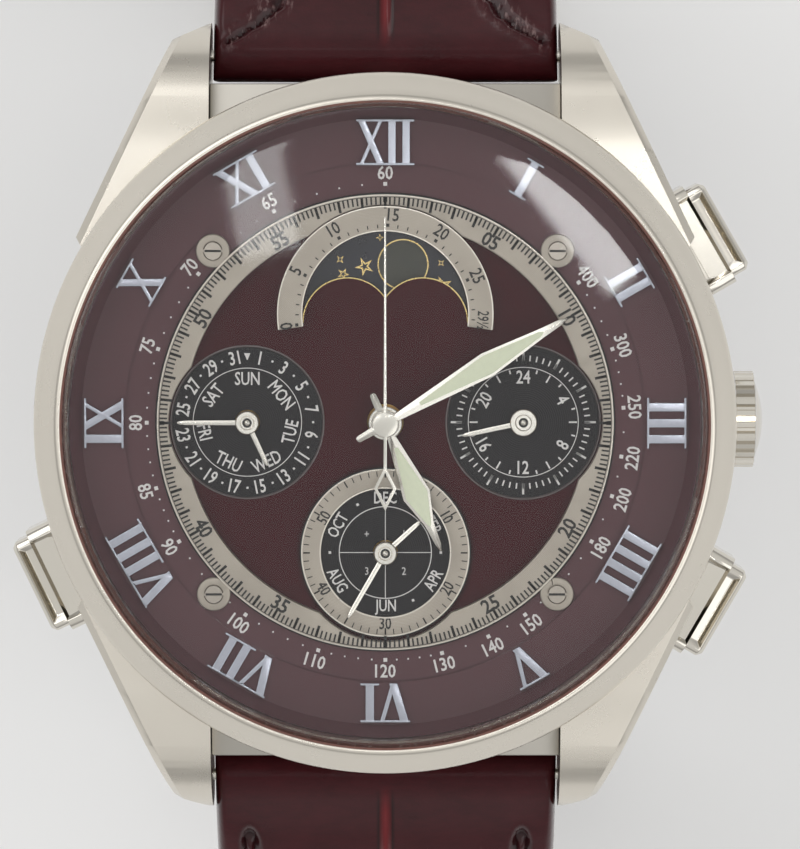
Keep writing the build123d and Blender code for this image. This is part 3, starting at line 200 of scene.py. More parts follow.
def join(name, pieces):
    """Several pieces as one."""
    take(*pieces)
    bpy.ops.object.join()
    return settle(bpy.context.object, name)


def close_up(piece):
    """Merges doubles and turns the faces outward."""
    edit(piece)
    bpy.ops.mesh.remove_doubles(threshold=MERGE)
    face_out()
    rest()


def smooth(piece, degrees=32):
    """Smooth shading that keeps sharp edges."""
    take(piece)
    bpy.ops.object.shade_smooth_by_angle(angle=math.radians(degrees))
    return piece


def modify(piece, kind, **settings):
    """Adds a modifier and applies it."""
    take(piece)
    bpy.ops.object.modifier_add(type=kind)
    modifier = piece.modifiers[-1]
    for key, value in settings.items():
        setattr(modifier, key, value)
    bpy.ops.object.modifier_apply(modifier=modifier.name)
    return piece


def bevel(piece, width, steps=2, degrees=30):
    """Rounds a piece's sharp edges."""
    return modify(
        piece, "BEVEL", width=width * MM, segments=steps, limit_method="ANGLE",
        angle_limit=math.radians(degrees), miter_outer="MITER_ARC", harden_normals=False,
    )


def turned(name, profile, centre=AXIS, sides=256):
    """A ring turned about an upright axis from (radius, height) points."""
    rest()
    (radius, height), *others = profile
    bpy.ops.mesh.primitive_circle_add(vertices=sides, radius=radius * MM)
    piece = edit(bpy.context.object)
    bpy.ops.transform.translate(value=(0, 0, height * MM))
    for next_radius, next_height in others:
        rise = (next_height - height) * MM
        bpy.ops.mesh.extrude_region_move(TRANSFORM_OT_translate={"value": (0, 0, rise)})
        share = next_radius / radius
        bpy.ops.transform.resize(value=(share, share, 1), center_override=(0, 0, 0))
        radius, height = next_radius, next_height
    close_up(piece)
    return smooth(move_to(piece, centre, name))


def square_ring(name, inner, outer, low, high, centre=AXIS, sides=FACE_SIDES):
    """A turned ring of square section."""
    profile = [(inner, low), (outer, low), (outer, high), (inner, high), (inner, low)]
    return turned(name, profile, centre, sides)


def place_on(centre, radius, angle):
    """A point at a clockwise angle from twelve o'clock."""
    turn = math.radians(angle)
    return centre[0] + radius * math.sin(turn), centre[1] + radius * math.cos(turn)


def softened(node, name, width, steps=2, flat=1.0, ease=None):
    """A merged copy of a CAD node with its sharp edges rounded; it stands for the node.
    Flat areas become single faces first, unless flat is 0, and ease reshapes the copy."""
    rest()
    piece = bpy.data.objects.new(name, NODES[node].data.copy())
    bpy.context.scene.collection.objects.link(piece)
    take(piece)
    if piece.data.has_custom_normals:
        bpy.ops.mesh.customdata_custom_splitnormals_clear()
    edit(piece)
    bpy.ops.mesh.remove_doubles(threshold=CAD_MERGE)
    if flat:
        bpy.ops.mesh.dissolve_limited(angle_limit=math.radians(flat))
    bpy.ops.mesh.normals_make_consistent(inside=False)
    if ease:
        ease(piece)
    rest()
    if width:
        bevel(piece, width, steps)
    smooth(piece)
    modify(piece, "WEIGHTED_NORMAL", keep_sharp=True, weight=80)
    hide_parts(node)
    return piece


def cut(piece, cutter):
    """Takes a cutter's shape out of a piece, then removes the cutter."""
    modify(piece, "BOOLEAN", operation="DIFFERENCE", object=cutter, solver="EXACT")
    bpy.data.objects.remove(cutter)
    return piece


def box(x, y, z, round_by):
    """A box between limits, with its edges rounded."""
    rest()
    bpy.ops.mesh.primitive_cube_add(size=1)
    piece = bpy.context.object
    piece.scale = [(high - low) * MM for low, high in (x, y, z)]
    piece.location = [(high + low) / 2 * MM for low, high in (x, y, z)]
    return bevel(settle(piece, "box"), round_by)


def body_of(node):
    """The body that a CAD node rides on."""
    bodies = frame["record"]["behaviour"]["bodies"]
    return next(body for body, members in bodies.items() if node in members)


def paint(piece, finish, body=None):
    """Gives a piece its finish and the body that it rides on."""
    piece.data.materials.clear()
    piece.data.materials.append(finish)
    if body:
        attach(piece, body)
    return piece


def paint_node(finish, *names):
    """Gives CAD nodes their finish."""
    for name in names:
        paint(NODES[name], finish)


class Print:
    """Bars, words and circles about a centre on one face, joined into one piece in the end."""

    def __init__(self, z, centre=AXIS):
        self.low = z + PRINT_LIFT
        self.centre = centre
        self.pieces = []

    def bars(self, width, length, radius, first=0.0, count=1, taper=1.0, centre=None):
        """Bars that point at the centre, spread evenly clockwise from the first angle."""
        rest()
        bpy.ops.mesh.primitive_plane_add(size=MM)
        piece = edit(bpy.context.object)
        bpy.ops.transform.resize(value=(width, length, 1))
        pick(piece, "EDGE", lambda edge: all(v.co.y < 0 for v in edge.verts))
        bpy.ops.transform.resize(value=(taper, 1, 1))
        thicken()
        face_out()
        x, y = (value * MM for value in centre or self.centre)
        bpy.ops.transform.translate(value=(x, y + radius * MM, self.low * MM))
        bpy.ops.transform.rotate(
            value=math.radians(first), orient_axis="Z", center_override=(x, y, 0)
        )
        if count > 1:
            bpy.ops.mesh.spin(
                steps=count - 1, dupli=True, angle=math.tau * (count - 1) / count,
                center=(x, y, 0), axis=(0, 0, -1),
            )
        rest()
        self.pieces.append(piece)

    def words(self, text, size, radius, angle, squeeze=0.86, bold=0.0, flip=None, centre=None):
        """Text that faces out from the centre and stands the other way up in the lower half,
        unless flip says which way up it stands."""
        rest()
        bpy.ops.object.text_add()
        letters = bpy.context.object.data
        letters.body = text
        letters.size = size * CAPITAL * MM
        letters.extrude = PRINT_HEIGHT * MM / 2
        letters.resolution_u = 2
        letters.offset = bold * MM
        bpy.ops.object.convert(target="MESH")
        piece = bpy.context.object
        bpy.ops.object.origin_set(type="ORIGIN_GEOMETRY", center="BOUNDS")
        lower = 96 < angle % 360 < 264 if flip is None else flip
        x, y = place_on(centre or self.centre, radius, angle)
        piece.location = (x * MM, y * MM, (self.low + PRINT_HEIGHT / 2) * MM)
        piece.rotation_euler = (0, 0, math.radians(-angle + (180 if lower else 0)))
        piece.scale = (squeeze, 1, 1)
        bpy.ops.object.transform_apply(location=True, rotation=True, scale=True)
        self.pieces.append(piece)

    def circle(self, inner, outer, sides=FACE_SIDES, centre=None):
        """A thin printed circle."""
        high = self.low + PRINT_HEIGHT
        centre = centre or self.centre
        self.pieces.append(square_ring("circle", inner, outer, self.low, high, centre, sides))

    def done(self, name, finish, slot, body="case"):
        """Joins it all into one piece on a body."""
        return paint(join(name, self.pieces), finish, body)


# Shader maths


class Wire:
    """A socket in a finish's node tree, so that shader maths is written as sums."""

    def __init__(self, tree, socket):
        self.tree = tree
        self.socket = socket

    def node(self, kind, settings=None, inputs=None, out=0):
        """Any node: its settings come first, then the values or wires of its sockets."""
        node = self.tree.nodes.new("ShaderNode" + kind)
        for key, value in (settings or {}).items():
            setattr(node, key, value)
        for key, value in (inputs or {}).items():
            if isinstance(value, Wire):
                self.tree.links.new(value.socket, node.inputs[key])
            else:
                node.inputs[key].default_value = value
        return Wire(self.tree, node.outputs[out])

    def maths(self, operation, *values):
        return self.node("Math", {"operation": operation}, dict(enumerate(values)))

    def __add__(self, other):
        return self.maths("ADD", self, other)

    def __sub__(self, other):
        return self.maths("SUBTRACT", self, other)

    def __rsub__(self, other):
        return self.maths("SUBTRACT", other, self)

    def __mul__(self, other):
        return self.maths("MULTIPLY", self, other)

    def __truediv__(self, other):
        return self.maths("DIVIDE", self, other)

    __radd__ = __add__
    __rmul__ = __mul__

    def clamp(self):
        return self.maths("MINIMUM", self.maths("MAXIMUM", self, 0.0), 1.0)

    def steps(self, stops):
        """A grey level for each share along a ramp."""
        ramp = self.node("ValToRGB", None, {0: self})
        elements = ramp.socket.node.color_ramp.elements
        for share, _ in stops[1:-1]:
            elements.new(share)
        for element, (share, level) in zip(elements, stops):
            element.position, element.color = share, (level, level, level, 1)
        return ramp


FINISHES = {}


def finish(name, colours, fixed, feeds):
    """A material with one Principled shader: fixed socket values, and feeds worked out by
    a function from the piece's own coordinates. Each is made once."""
    if name in FINISHES:
        return FINISHES[name]
    material = FINISHES[name] = bpy.data.materials.new("watch_" + name)
    material.use_nodes = True
    tree = material.node_tree
    shader = tree.nodes["Principled BSDF"]
    for key, value in fixed.items():
        shader.inputs[key].default_value = value
    start = tree.nodes.new("ShaderNodeTexCoord")
    for key, wire in feeds(Wire(tree, start.outputs["Object"]), *colours).items():
        tree.links.new(wire.socket, shader.inputs[key])
    return material


def noise(place, size, detail=3.0, rough=0.5, stretch=(1, 1, 1)):
    """Soft noise with features of about a size."""
    vector = place.node("Mapping", None, {"Vector": place, "Scale": stretch})
    return place.node(
        "TexNoise", None,
        {"Vector": vector, "Scale": 1 / (size * MM), "Detail": detail, "Roughness": rough},
    )


def mix(place, share, low, high):
    """A colour between two, by a share."""
    return place.node("Mix", {"data_type": "RGBA"}, {0: share, 6: low, 7: high}, out=2)


def bump(place, height, depth, strength=0.5):
    """A bump whose height of 1 is a depth."""
    return place.node(
        "Bump", None, {"Height": height, "Distance": depth * MM, "Strength": strength}
    )


def split(place, axis):
    return place.node("SeparateXYZ", None, {0: place}, out=axis)


def about(place, centre):
    """The x and y of coordinates measured from an upright axis."""
    shift = (-centre[0] * MM, -centre[1] * MM, 0)
    local = place.node("Mapping", None, {"Vector": place, "Location": shift})
    return split(local, 0), split(local, 1)


def grooves(place, pitch, centre=AXIS):
    """Waves that run round an upright axis."""
    x, y = about(place, centre)
    square = x * x + y * y
    radius = square.maths("SQRT", square) / MM
    return place.maths("SINE", radius * (math.tau / pitch))


# Finishes


def steel(name="polished_steel", colour=tone(222, 216, 205), rough=0.28, smear=0.06):
    """Polished metal with faint smears and hairlines."""

    def feeds(place, light):
        cloud = noise(place, 6.0)
        hair = noise(place, 0.35, 2.0, 0.6, (1, 1, 9))
        wear_and_glint = noise(place, 1.4, 5.0, 0.7)
        return {
            "Base Color": mix(place, cloud, part(light, 0.93), light),
            "Roughness": rough + (cloud - 0.5) * smear + (wear_and_glint - 0.5) * smear * 0.6,
            "Normal": bump(place, hair, 0.0006),
        }

    return finish(name, [colour], {"Metallic": 1.0}, feeds)


def screw_metal():
    return steel("screw_steel", tone(205, 202, 196), 0.18)


def turned_steel():
    """Metal with fine turned grooves about the watch's axis."""

    def feeds(place, light):
        groove = grooves(place, 0.12)
        cloud = noise(place, 5.0)
        return {
            "Base Color": mix(place, cloud, part(light, 0.85), light),
            "Roughness": 0.3 + (cloud - 0.5) * 0.12,
            "Normal": bump(place, groove, 0.004, 0.6),
        }

    return finish("turned_steel", [tone(196, 193, 186)], {"Metallic": 1.0}, feeds)


def lacquer(name, deep, glow, rough=0.1, coat=0.2):
    """Deep polished lacquer over a brushed ground, with a faint sunray under it: light and dark
    rays painted into its colour as a painted sheen.
    """

    def feeds(place, dark, light):
        x, y = about(place, AXIS)
        angle = place.maths("ARCTAN2", y, x)
        # Rays round the axis mix a darker and a lighter copy of the lacquer: painted sheen of the
        # sunray, with a random cloud
        ray = noise(place.node("CombineXYZ", None, {0: angle, 1: 0.0, 2: 0.0}), 40.0, 4.0, 0.6)
        cloud = noise(place, 9.0, 2.0)
        fine = noise(place, 0.5, 2.0)
        return {
            "Base Color": mix(place, (ray * 0.5 + cloud * 0.5).clamp(), dark, light),
            "Roughness": rough + (fine - 0.5) * 0.03,
        }

    fixed = {"Coat Weight": coat, "Coat Roughness": 0.03, "Specular IOR Level": 0.0}
    return finish(name, [deep, glow], fixed, feeds)


def ringed(
    name, dark, light, pitch, rough, metallic=0.0, centre=AXIS, depth=0.003, gloss=0.5
):
    """A face cut with fine rings about a centre."""

    def feeds(place, low, high):
        groove = grooves(place, pitch, centre)
        cloud = noise(place, 2.5)
        return {
            "Base Color": mix(place, (cloud * 0.7 + groove * 0.15 + 0.15).clamp(), low, high),
            "Roughness": rough + (cloud - 0.5) * 0.1,
            "Normal": bump(place, groove, depth, 0.6),
        }

    fixed = {"Metallic": metallic, "Specular IOR Level": gloss}
    return finish(name, [dark, light], fixed, feeds)


def ink(name, colour, rough=0.45, metallic=0.0):
    """Printed paint, a little uneven."""

    def feeds(place, light):
        grain = noise(place, 0.25, 2.0)
        return {
            "Base Color": mix(place, grain, part(light, 0.82), light),
            "Roughness": rough + (grain - 0.5) * 0.15,
        }

    return finish(name, [colour], {"Metallic": metallic}, feeds)


def white_ink():
    return ink("white_ink", tone(232, 230, 228))


# Black print; the same finish is also painted shade: the shadow gaps, the screw slots and the hub
# holes
def black_ink():
    return ink("black_ink", tone(24, 22, 22))


def plain(name, dark, light, size=1.5, rough=0.5, metallic=0.0, relief=0.01):
    """A moulded, cast or satin surface with a fine grain."""

    def feeds(place, low, high):
        grain = noise(place, size, 4.0)
        return {
            "Base Color": mix(place, grain, low, high),
            "Roughness": rough + (grain - 0.5) * 0.16,
            "Normal": bump(place, grain, relief),
        }

    return finish(name, [dark, light], {"Metallic": metallic}, feeds)


def leather(dark, light, groove, seam, glint_tone):
    """Glossy embossed leather: dark creases with pale streaks beside them that are a painted glint,
    fine pores and a red line in its middle. Beside the bar it has no glossy coat."""
    bare_y, fade = 22.9, 1.6

    def feeds(place, low, high, crease, line, pale_glint):
        fold, pucker, middle = (
            place.node("Attribute", {"attribute_name": name}, out=2)
            for name in ("fold", "pucker", "middle")
        )
        cloud = noise(place, 3.5, 5.0, 0.6)
        pores = place.node(
            "TexVoronoi", {"feature": "DISTANCE_TO_EDGE"},
            {"Vector": place, "Scale": 1 / (0.42 * MM)},
        )
        wrinkle = noise(place, 0.7, 5.0, 0.65)
        streak = noise(place, 1.1, 3.0, 0.6, (1, 2.6, 2.6))
        coat = mix(place, (cloud * 0.7 + streak * 0.5 - 0.1).clamp(), low, high)
        coat = mix(place, (fold * 0.85).clamp(), coat, crease)
        coat = mix(place, middle, coat, line)
        # Pale streaks beside the creases, mixed into the colour: a painted glint of light on the
        # leather
        glint_streaks = noise(place, 0.95, 4.0, 0.6, (3.2, 1, 1))
        wear_and_glint = ((glint_streaks - 0.53) * 9 * pucker * pucker * (1 - fold * 0.7)).clamp() * 0.5
        coat = mix(place, wear_and_glint, coat, pale_glint)
        fine = (pores * 3).clamp() * 0.12 + wrinkle * 0.25 + wrinkle * pucker * 0.9 + streak * 0.5
        y = split(place, 1)
        away = (y.maths("ABSOLUTE", y) / MM - bare_y) / fade
        return {
            "Base Color": coat,
            "Roughness": 0.3 + (cloud - 0.5) * 0.16 + fold * 0.12,
            "Coat Weight": away.clamp() * 0.5,
            "Normal": bump(place, fine, 0.06, 0.6),
        }

    fixed = {"Coat Roughness": 0.12, "Specular IOR Level": 0.12}
    return finish("embossed_leather", [dark, light, groove, seam, glint_tone], fixed, feeds)


def clear_crystal():
    """Thin clear crystal: see-through, with a sharp sheen that grows at a slant."""
    material = bpy.data.materials.new("watch_clear_crystal")
    material.use_nodes = True
    tree = material.node_tree
    tree.nodes.clear()
    end = tree.nodes.new("ShaderNodeOutputMaterial")
    start = Wire(tree, tree.nodes.new("ShaderNodeTexCoord").outputs["Object"])
    slant = start.node("Fresnel", None, {"IOR": 1.5})
    film = noise(start, 8.0)
    clear = start.node("BsdfTransparent", None, {"Color": (0.985, 0.985, 0.985, 1)})
    sheen = start.node("BsdfGlossy", None, {"Roughness": 0.035, "Color": (1, 1, 1, 1)})
    share = (slant * 0.5 + film * 0.002).clamp()
    surface = start.node("MixShader", None, {0: share, 1: clear, 2: sheen})
    tree.links.new(surface.socket, end.inputs["Surface"])
    return material


# Settings


def length_input(name, description, default):
    return bpy.props.FloatProperty(
        name=name, description=description, default=default, unit="LENGTH"
    )


def colour_input(name, description, *shades):
    return bpy.props.FloatVectorProperty(
        name=name, description=description, subtype="COLOR", size=4, default=tone(*shades)
    )


class WatchSizes(bpy.types.PropertyGroup):
    """Sizes that a user may change."""

    bezel_steps: bpy.props.IntProperty(
        name="Bezel sides", description="Segments round the bezel", default=256, min=64
    )
    lug_rounding: length_input("Case rounding", "Rounding of the case's edges", 0.12 * MM)
    emboss_depth: length_input("Emboss depth", "Depth of the leather's creases", 0.42 * MM)
    camera_distance: length_input("Camera distance", "From the dial to the camera", 0.3)


class WatchColours(bpy.types.PropertyGroup):
    """Colours that a user may change."""

    floor: colour_input("Floor", "Colour of the floor", 238, 238, 238)
    dial: colour_input("Dial", "Colour of the dial's lacquer", 64, 16, 24)
    flange: colour_input("Flange", "Colour of the outer ring", 92, 62, 67)
    strap: colour_input("Leather", "Colour of the strap", 56, 15, 20)
    lume: colour_input("Lume", "Colour of the luminous paint", 236, 243, 214)


def sizes():
    return bpy.context.scene.watch_sizes


def colours():
    return bpy.context.scene.watch_colours


# Operators


class Step:
    """What the operators share: each builds one group of pieces."""

    def execute(self, context):
        self.build()
        return {"FINISHED"}


class WATCH_OT_stage(Step, bpy.types.Operator):
    """The floor, the lights, the pale room and the camera"""

    bl_idname = "watch.stage"
    bl_label = "Stage"

    # How bright the room is, from the horizon (0) to straight above (1)
    room_levels = ((0.0, 0.5), (0.06, 0.4), (0.3, 0.42), (0.5, 0.7), (1.0, 0.76))
    backdrop_level = 0.9
    lamp_size = 1.4
    lamps = (("key_lamp", (-0.8, 0.7, 1.1), 7.3), ("fill_lamp", (0.9, -0.5, 1.1), 5.0))
    # Windows that show in the crystal: name, place, turn and power
    windows = (
        ("right_window", (0.073, 0.034, 0.75), 38, 0.115),
        ("left_window", (-0.054, 0.05, 0.75), 12, 0.05),
    )
    window_size = (0.024, 0.07)
    camera_tilt = math.radians(4.0)
    aim = (0.92, -0.1, 8.0)
    frame_width = 53.06  # what the picture spans at the dial
    sensor_width = 36.0

    def lamp(self, name, place, aim, size, power):
        """A soft square lamp."""
        bpy.ops.object.light_add(type="AREA", location=place)
        lamp = bpy.context.object
        lamp.name = name
        lamp.data.energy = power
        lamp.data.size = size
        lamp.rotation_euler = (Vector(aim) - Vector(place)).to_track_quat("-Z", "Y").to_euler()
        return lamp

    def floor(self):
        rest()
        bpy.ops.mesh.primitive_plane_add(size=6)
        floor = edit(bpy.context.object)
        bpy.ops.transform.translate(value=(0, 0, CAD_BOX[0][2]))
        bpy.ops.mesh.subdivide(number_cuts=4)
        rest()
        floor.name = "floor"
        shade = colours().floor[:]
        paint(floor, plain("floor_paper", part(shade, 0.97), shade, 30.0, 0.8, 0.0, 0.02))

    def room(self):
        """A pale room, graded by height, behind an even backdrop."""
        world = bpy.data.worlds.new("pale room")
        bpy.context.scene.world = world
        world.use_nodes = True
        tree = world.node_tree
        backdrop = tree.nodes["Background"]
        path = Wire(tree, tree.nodes.new("ShaderNodeLightPath").outputs["Is Camera Ray"])
        way = Wire(tree, tree.nodes.new("ShaderNodeTexCoord").outputs["Generated"])
        room = split(way, 2).clamp().steps(self.room_levels) * (1 - path)
        strength = room + path * self.backdrop_level
        tree.links.new(strength.socket, backdrop.inputs["Strength"])
        backdrop.inputs["Color"].default_value = (0.99, 0.985, 0.97, 1)

    def camera(self):
        distance, tilt = sizes().camera_distance, self.camera_tilt
        x, y, z = (value * MM for value in self.aim)
        place = (x, y + distance * math.sin(tilt), z + distance * math.cos(tilt))
        bpy.ops.object.camera_add(location=place, rotation=(-tilt, 0, 0))
        camera = bpy.context.object
        camera.name = "photo_camera"
        camera.data.sensor_width = self.sensor_width
        camera.data.lens = self.sensor_width * distance / (self.frame_width * MM)
        camera.data.clip_start = 0.01
        bpy.context.scene.camera = camera

    def build(self):
        self.floor()
        self.room()
        for name, place, power in self.lamps:
            self.lamp(name, place, (0, 0, 0), self.lamp_size, power)
        for name, place, turn, power in self.windows:
            strip = self.lamp(name, place, (*place[:2], 0), self.window_size[0], power)
            strip.data.shape = "RECTANGLE"
            strip.data.size_y = self.window_size[1]
            strip.rotation_euler = (0, 0, math.radians(turn))
        self.camera()
        bpy.context.scene.view_settings.view_transform = "Standard"


class WATCH_OT_case(Step, bpy.types.Operator):
    """The case, its bezel, gaskets, guards and pushers"""

    bl_idname = "watch.case"
    bl_label = "Case and bezel"

    bezel_profile = (
        (20.08, 9.95), (19.75, 9.9), (19.72, 9.84), (19.72, 9.1), (19.78, 9.03), (20.8, 9.0),
        (20.8, 8.46), (20.86, 8.4), (21.5, 8.4), (21.66, 8.46), (21.82, 8.62), (21.87, 8.8),
        (21.87, 9.46), (21.84, 9.6), (21.78, 9.73), (21.7, 9.84), (21.58, 9.98), (21.3, 10.32),
        (20.9, 10.82), (20.52, 11.3), (20.42, 11.4), (20.32, 11.46), (20.22, 11.48),
        (20.14, 11.45), (20.09, 11.38), (20.08, 11.3), (20.08, 9.95),
    )
    # The bend of a lug: its place, half its length, and how much the slope changes
    bend_y, bend_reach, bend_slope = 20.4, 3.6, 0.36
    bend_cuts = 15
    lug_start_x, neck_radius, bezel_foot_z = 10.9, 21.1, 8.3
    # A lug's side view: a flat shelf, then an arc about a point down to the tip
    shelf_z, arc_y, arc_z, arc_radius = 8.0, 17.8, 1.255, 7.229
    skin_depth = 0.8
    # The panels in the tops of the pushers and guards
    panel_rim, panel_depth, panel_slope, panel_drop = 0.34, 0.16, 0.2, 0.8
    # The blocks that close the case between its lugs
    end_half, end_near, end_far, end_low, end_high = 10.97, 17.0, 21.16, 2.3, 7.6
    end_slant = 1.1

    def ease_lugs(self, piece):
        """Rounds the bend across each lug, where its flat top turns down to the tip."""
        bend, reach = self.bend_y, self.bend_reach
        half = self.bend_cuts // 2
        planes = [bend - reach + reach * index / half for index in range(self.bend_cuts)]
        for y in planes + [-y for y in planes]:
            bpy.ops.mesh.select_all(action="SELECT")
            bpy.ops.mesh.bisect(plane_co=(0, y * MM, 0), plane_no=(0, 1, 0))

        def lower(vertex):
            x, y, z = (abs(value) / MM for value in vertex.co)
            off = abs(y - bend)
            if off >= reach or x < self.lug_start_x or z > self.bezel_foot_z:
                return None
            if math.hypot(x, y) < self.neck_radius:
                return None
            top = self.shelf_z
            if y >= bend:
                top = self.arc_z + math.sqrt(self.arc_radius ** 2 - (y - self.arc_y) ** 2)
            if z <= top - self.skin_depth:
                return None
            drop = self.bend_slope * (reach - off) ** 2 / (4 * reach)
            return vertex.co - Vector((0, 0, drop * MM))

        reshape(piece, lower)

    def sink_tops(self, piece):
        """Frames each flat top with a narrow rim round a sunken, slanted panel."""
        pick(piece, "FACE", lambda face: face.normal.z > 0.95 and face.calc_area() > 2e-6)
        bpy.ops.mesh.inset(
            thickness=self.panel_rim * MM, depth=-self.panel_depth * MM, use_individual=True
        )
        mesh = bmesh.from_edit_mesh(piece.data)
        for face in [face for face in mesh.faces if face.select]:
            middle = face.calc_center_median()
            away = Vector((middle.x, middle.y, 0)).normalized()
            for vertex in face.verts:
                run = self.panel_drop * MM + (vertex.co - middle).dot(away)
                vertex.co.z -= self.panel_slope * run
        bmesh.update_edit_mesh(piece.data)

    def end_block(self, low, high):
        """A block between the lugs whose outer top edge is lower."""
        wide = (-self.end_half, self.end_half)
        block = edit(box(wide, (low, high), (self.end_low, self.end_high), 0.15))
        pick(block, "VERT", lambda v: abs(v.co.y) > 20 * MM and v.co.z > 6 * MM)
        bpy.ops.transform.translate(value=(0, 0, -self.end_slant * MM))
        rest()
        return block

    def build(self):
        metal = steel()
        crisp = steel("crisp_steel", tone(224, 219, 209), 0.13, 0.04)
        rounding = sizes().lug_rounding / MM
        case = softened("case_middle", "case_shell", rounding, 3, ease=self.ease_lugs)
        paint(case, metal, "case")
        ends = [
            self.end_block(self.end_near, self.end_far),
            self.end_block(-self.end_far, -self.end_near),
        ]
        satin = steel("satin_steel", tone(188, 184, 176), 0.45)
        paint(smooth(join("case_end_faces", ends)), satin, "case")
        bezel = turned("bezel_ring", self.bezel_profile, sides=sizes().bezel_steps)
        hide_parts("bezel")
        paint(bezel, metal, "case")
        red = plain("gasket_red", tone(84, 52, 46), tone(120, 76, 64), 0.6)
        paint_node(red, "crystal_gasket")
        black = plain("seal_rubber", tone(28, 28, 30), tone(44, 44, 46), 0.5, 0.6)
        paint_node(black, "case_back_gasket", "crown_gasket")
        for name in ("pusher_upper", "pusher_lower", "pusher_left"):
            piece = softened(name, name + "_cap", 0.08, ease=self.sink_tops)
            paint(piece, crisp, name)
        guards = softened("pusher_guards", "guard_blocks", 0.08, ease=self.sink_tops)
        paint(guards, crisp, "case")
        crown = softened("crown", "fluted_crown", 0, flat=0)
        paint(crown, crisp, "crown")
        paint_node(
            screw_metal(), "spring_bar_upper", "spring_bar_lower", "buckle_bar", "crown_stem",
            "crown_tube", "setting_lever",
        )


class WATCH_OT_case_back(Step, bpy.types.Operator):
    """The case back and its screws"""

    bl_idname = "watch.case_back"
    bl_label = "Case back"

    def build(self):
        back = softened("case_back", "back_cover", 0.06)
        paint(back, turned_steel(), "case")
        screws = softened("case_back_screws", "back_cover_screws", 0.04, flat=0)
        paint(screws, screw_metal(), "case")


class WATCH_OT_crystal(Step, bpy.types.Operator):
    """The domed crystal"""

    bl_idname = "watch.crystal"
    bl_label = "Crystal"

    wall = ((19.9, 10.1), (20.0, 10.2), (20.0, 11.3), (19.7, 11.5))
    centre_radius = 0.4
    dome_radius, dome_z, dome_height, dome_rings = 19.4, 11.9, 0.36, 14

    def build(self):
        profile = [(self.centre_radius, self.wall[0][1]), *self.wall]
        width = self.dome_radius - self.centre_radius
        for index in range(self.dome_rings + 1):
            radius = self.dome_radius - width * index / self.dome_rings
            drop = self.dome_height * (radius / self.dome_radius) ** 2
            profile.append((radius, self.dome_z - drop))
        crystal = edit(turned("domed_crystal", profile, sides=FACE_SIDES))
        for upper in (True, False):
            pick(
                crystal, "VERT",
                lambda v: v.co.xy.length < 0.5 * MM and (v.co.z > 11 * MM) == upper,
            )
            bpy.ops.mesh.edge_face_add()
        face_out()
        smooth(crystal)
        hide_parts("crystal")
        paint(crystal, clear_crystal(), "case")


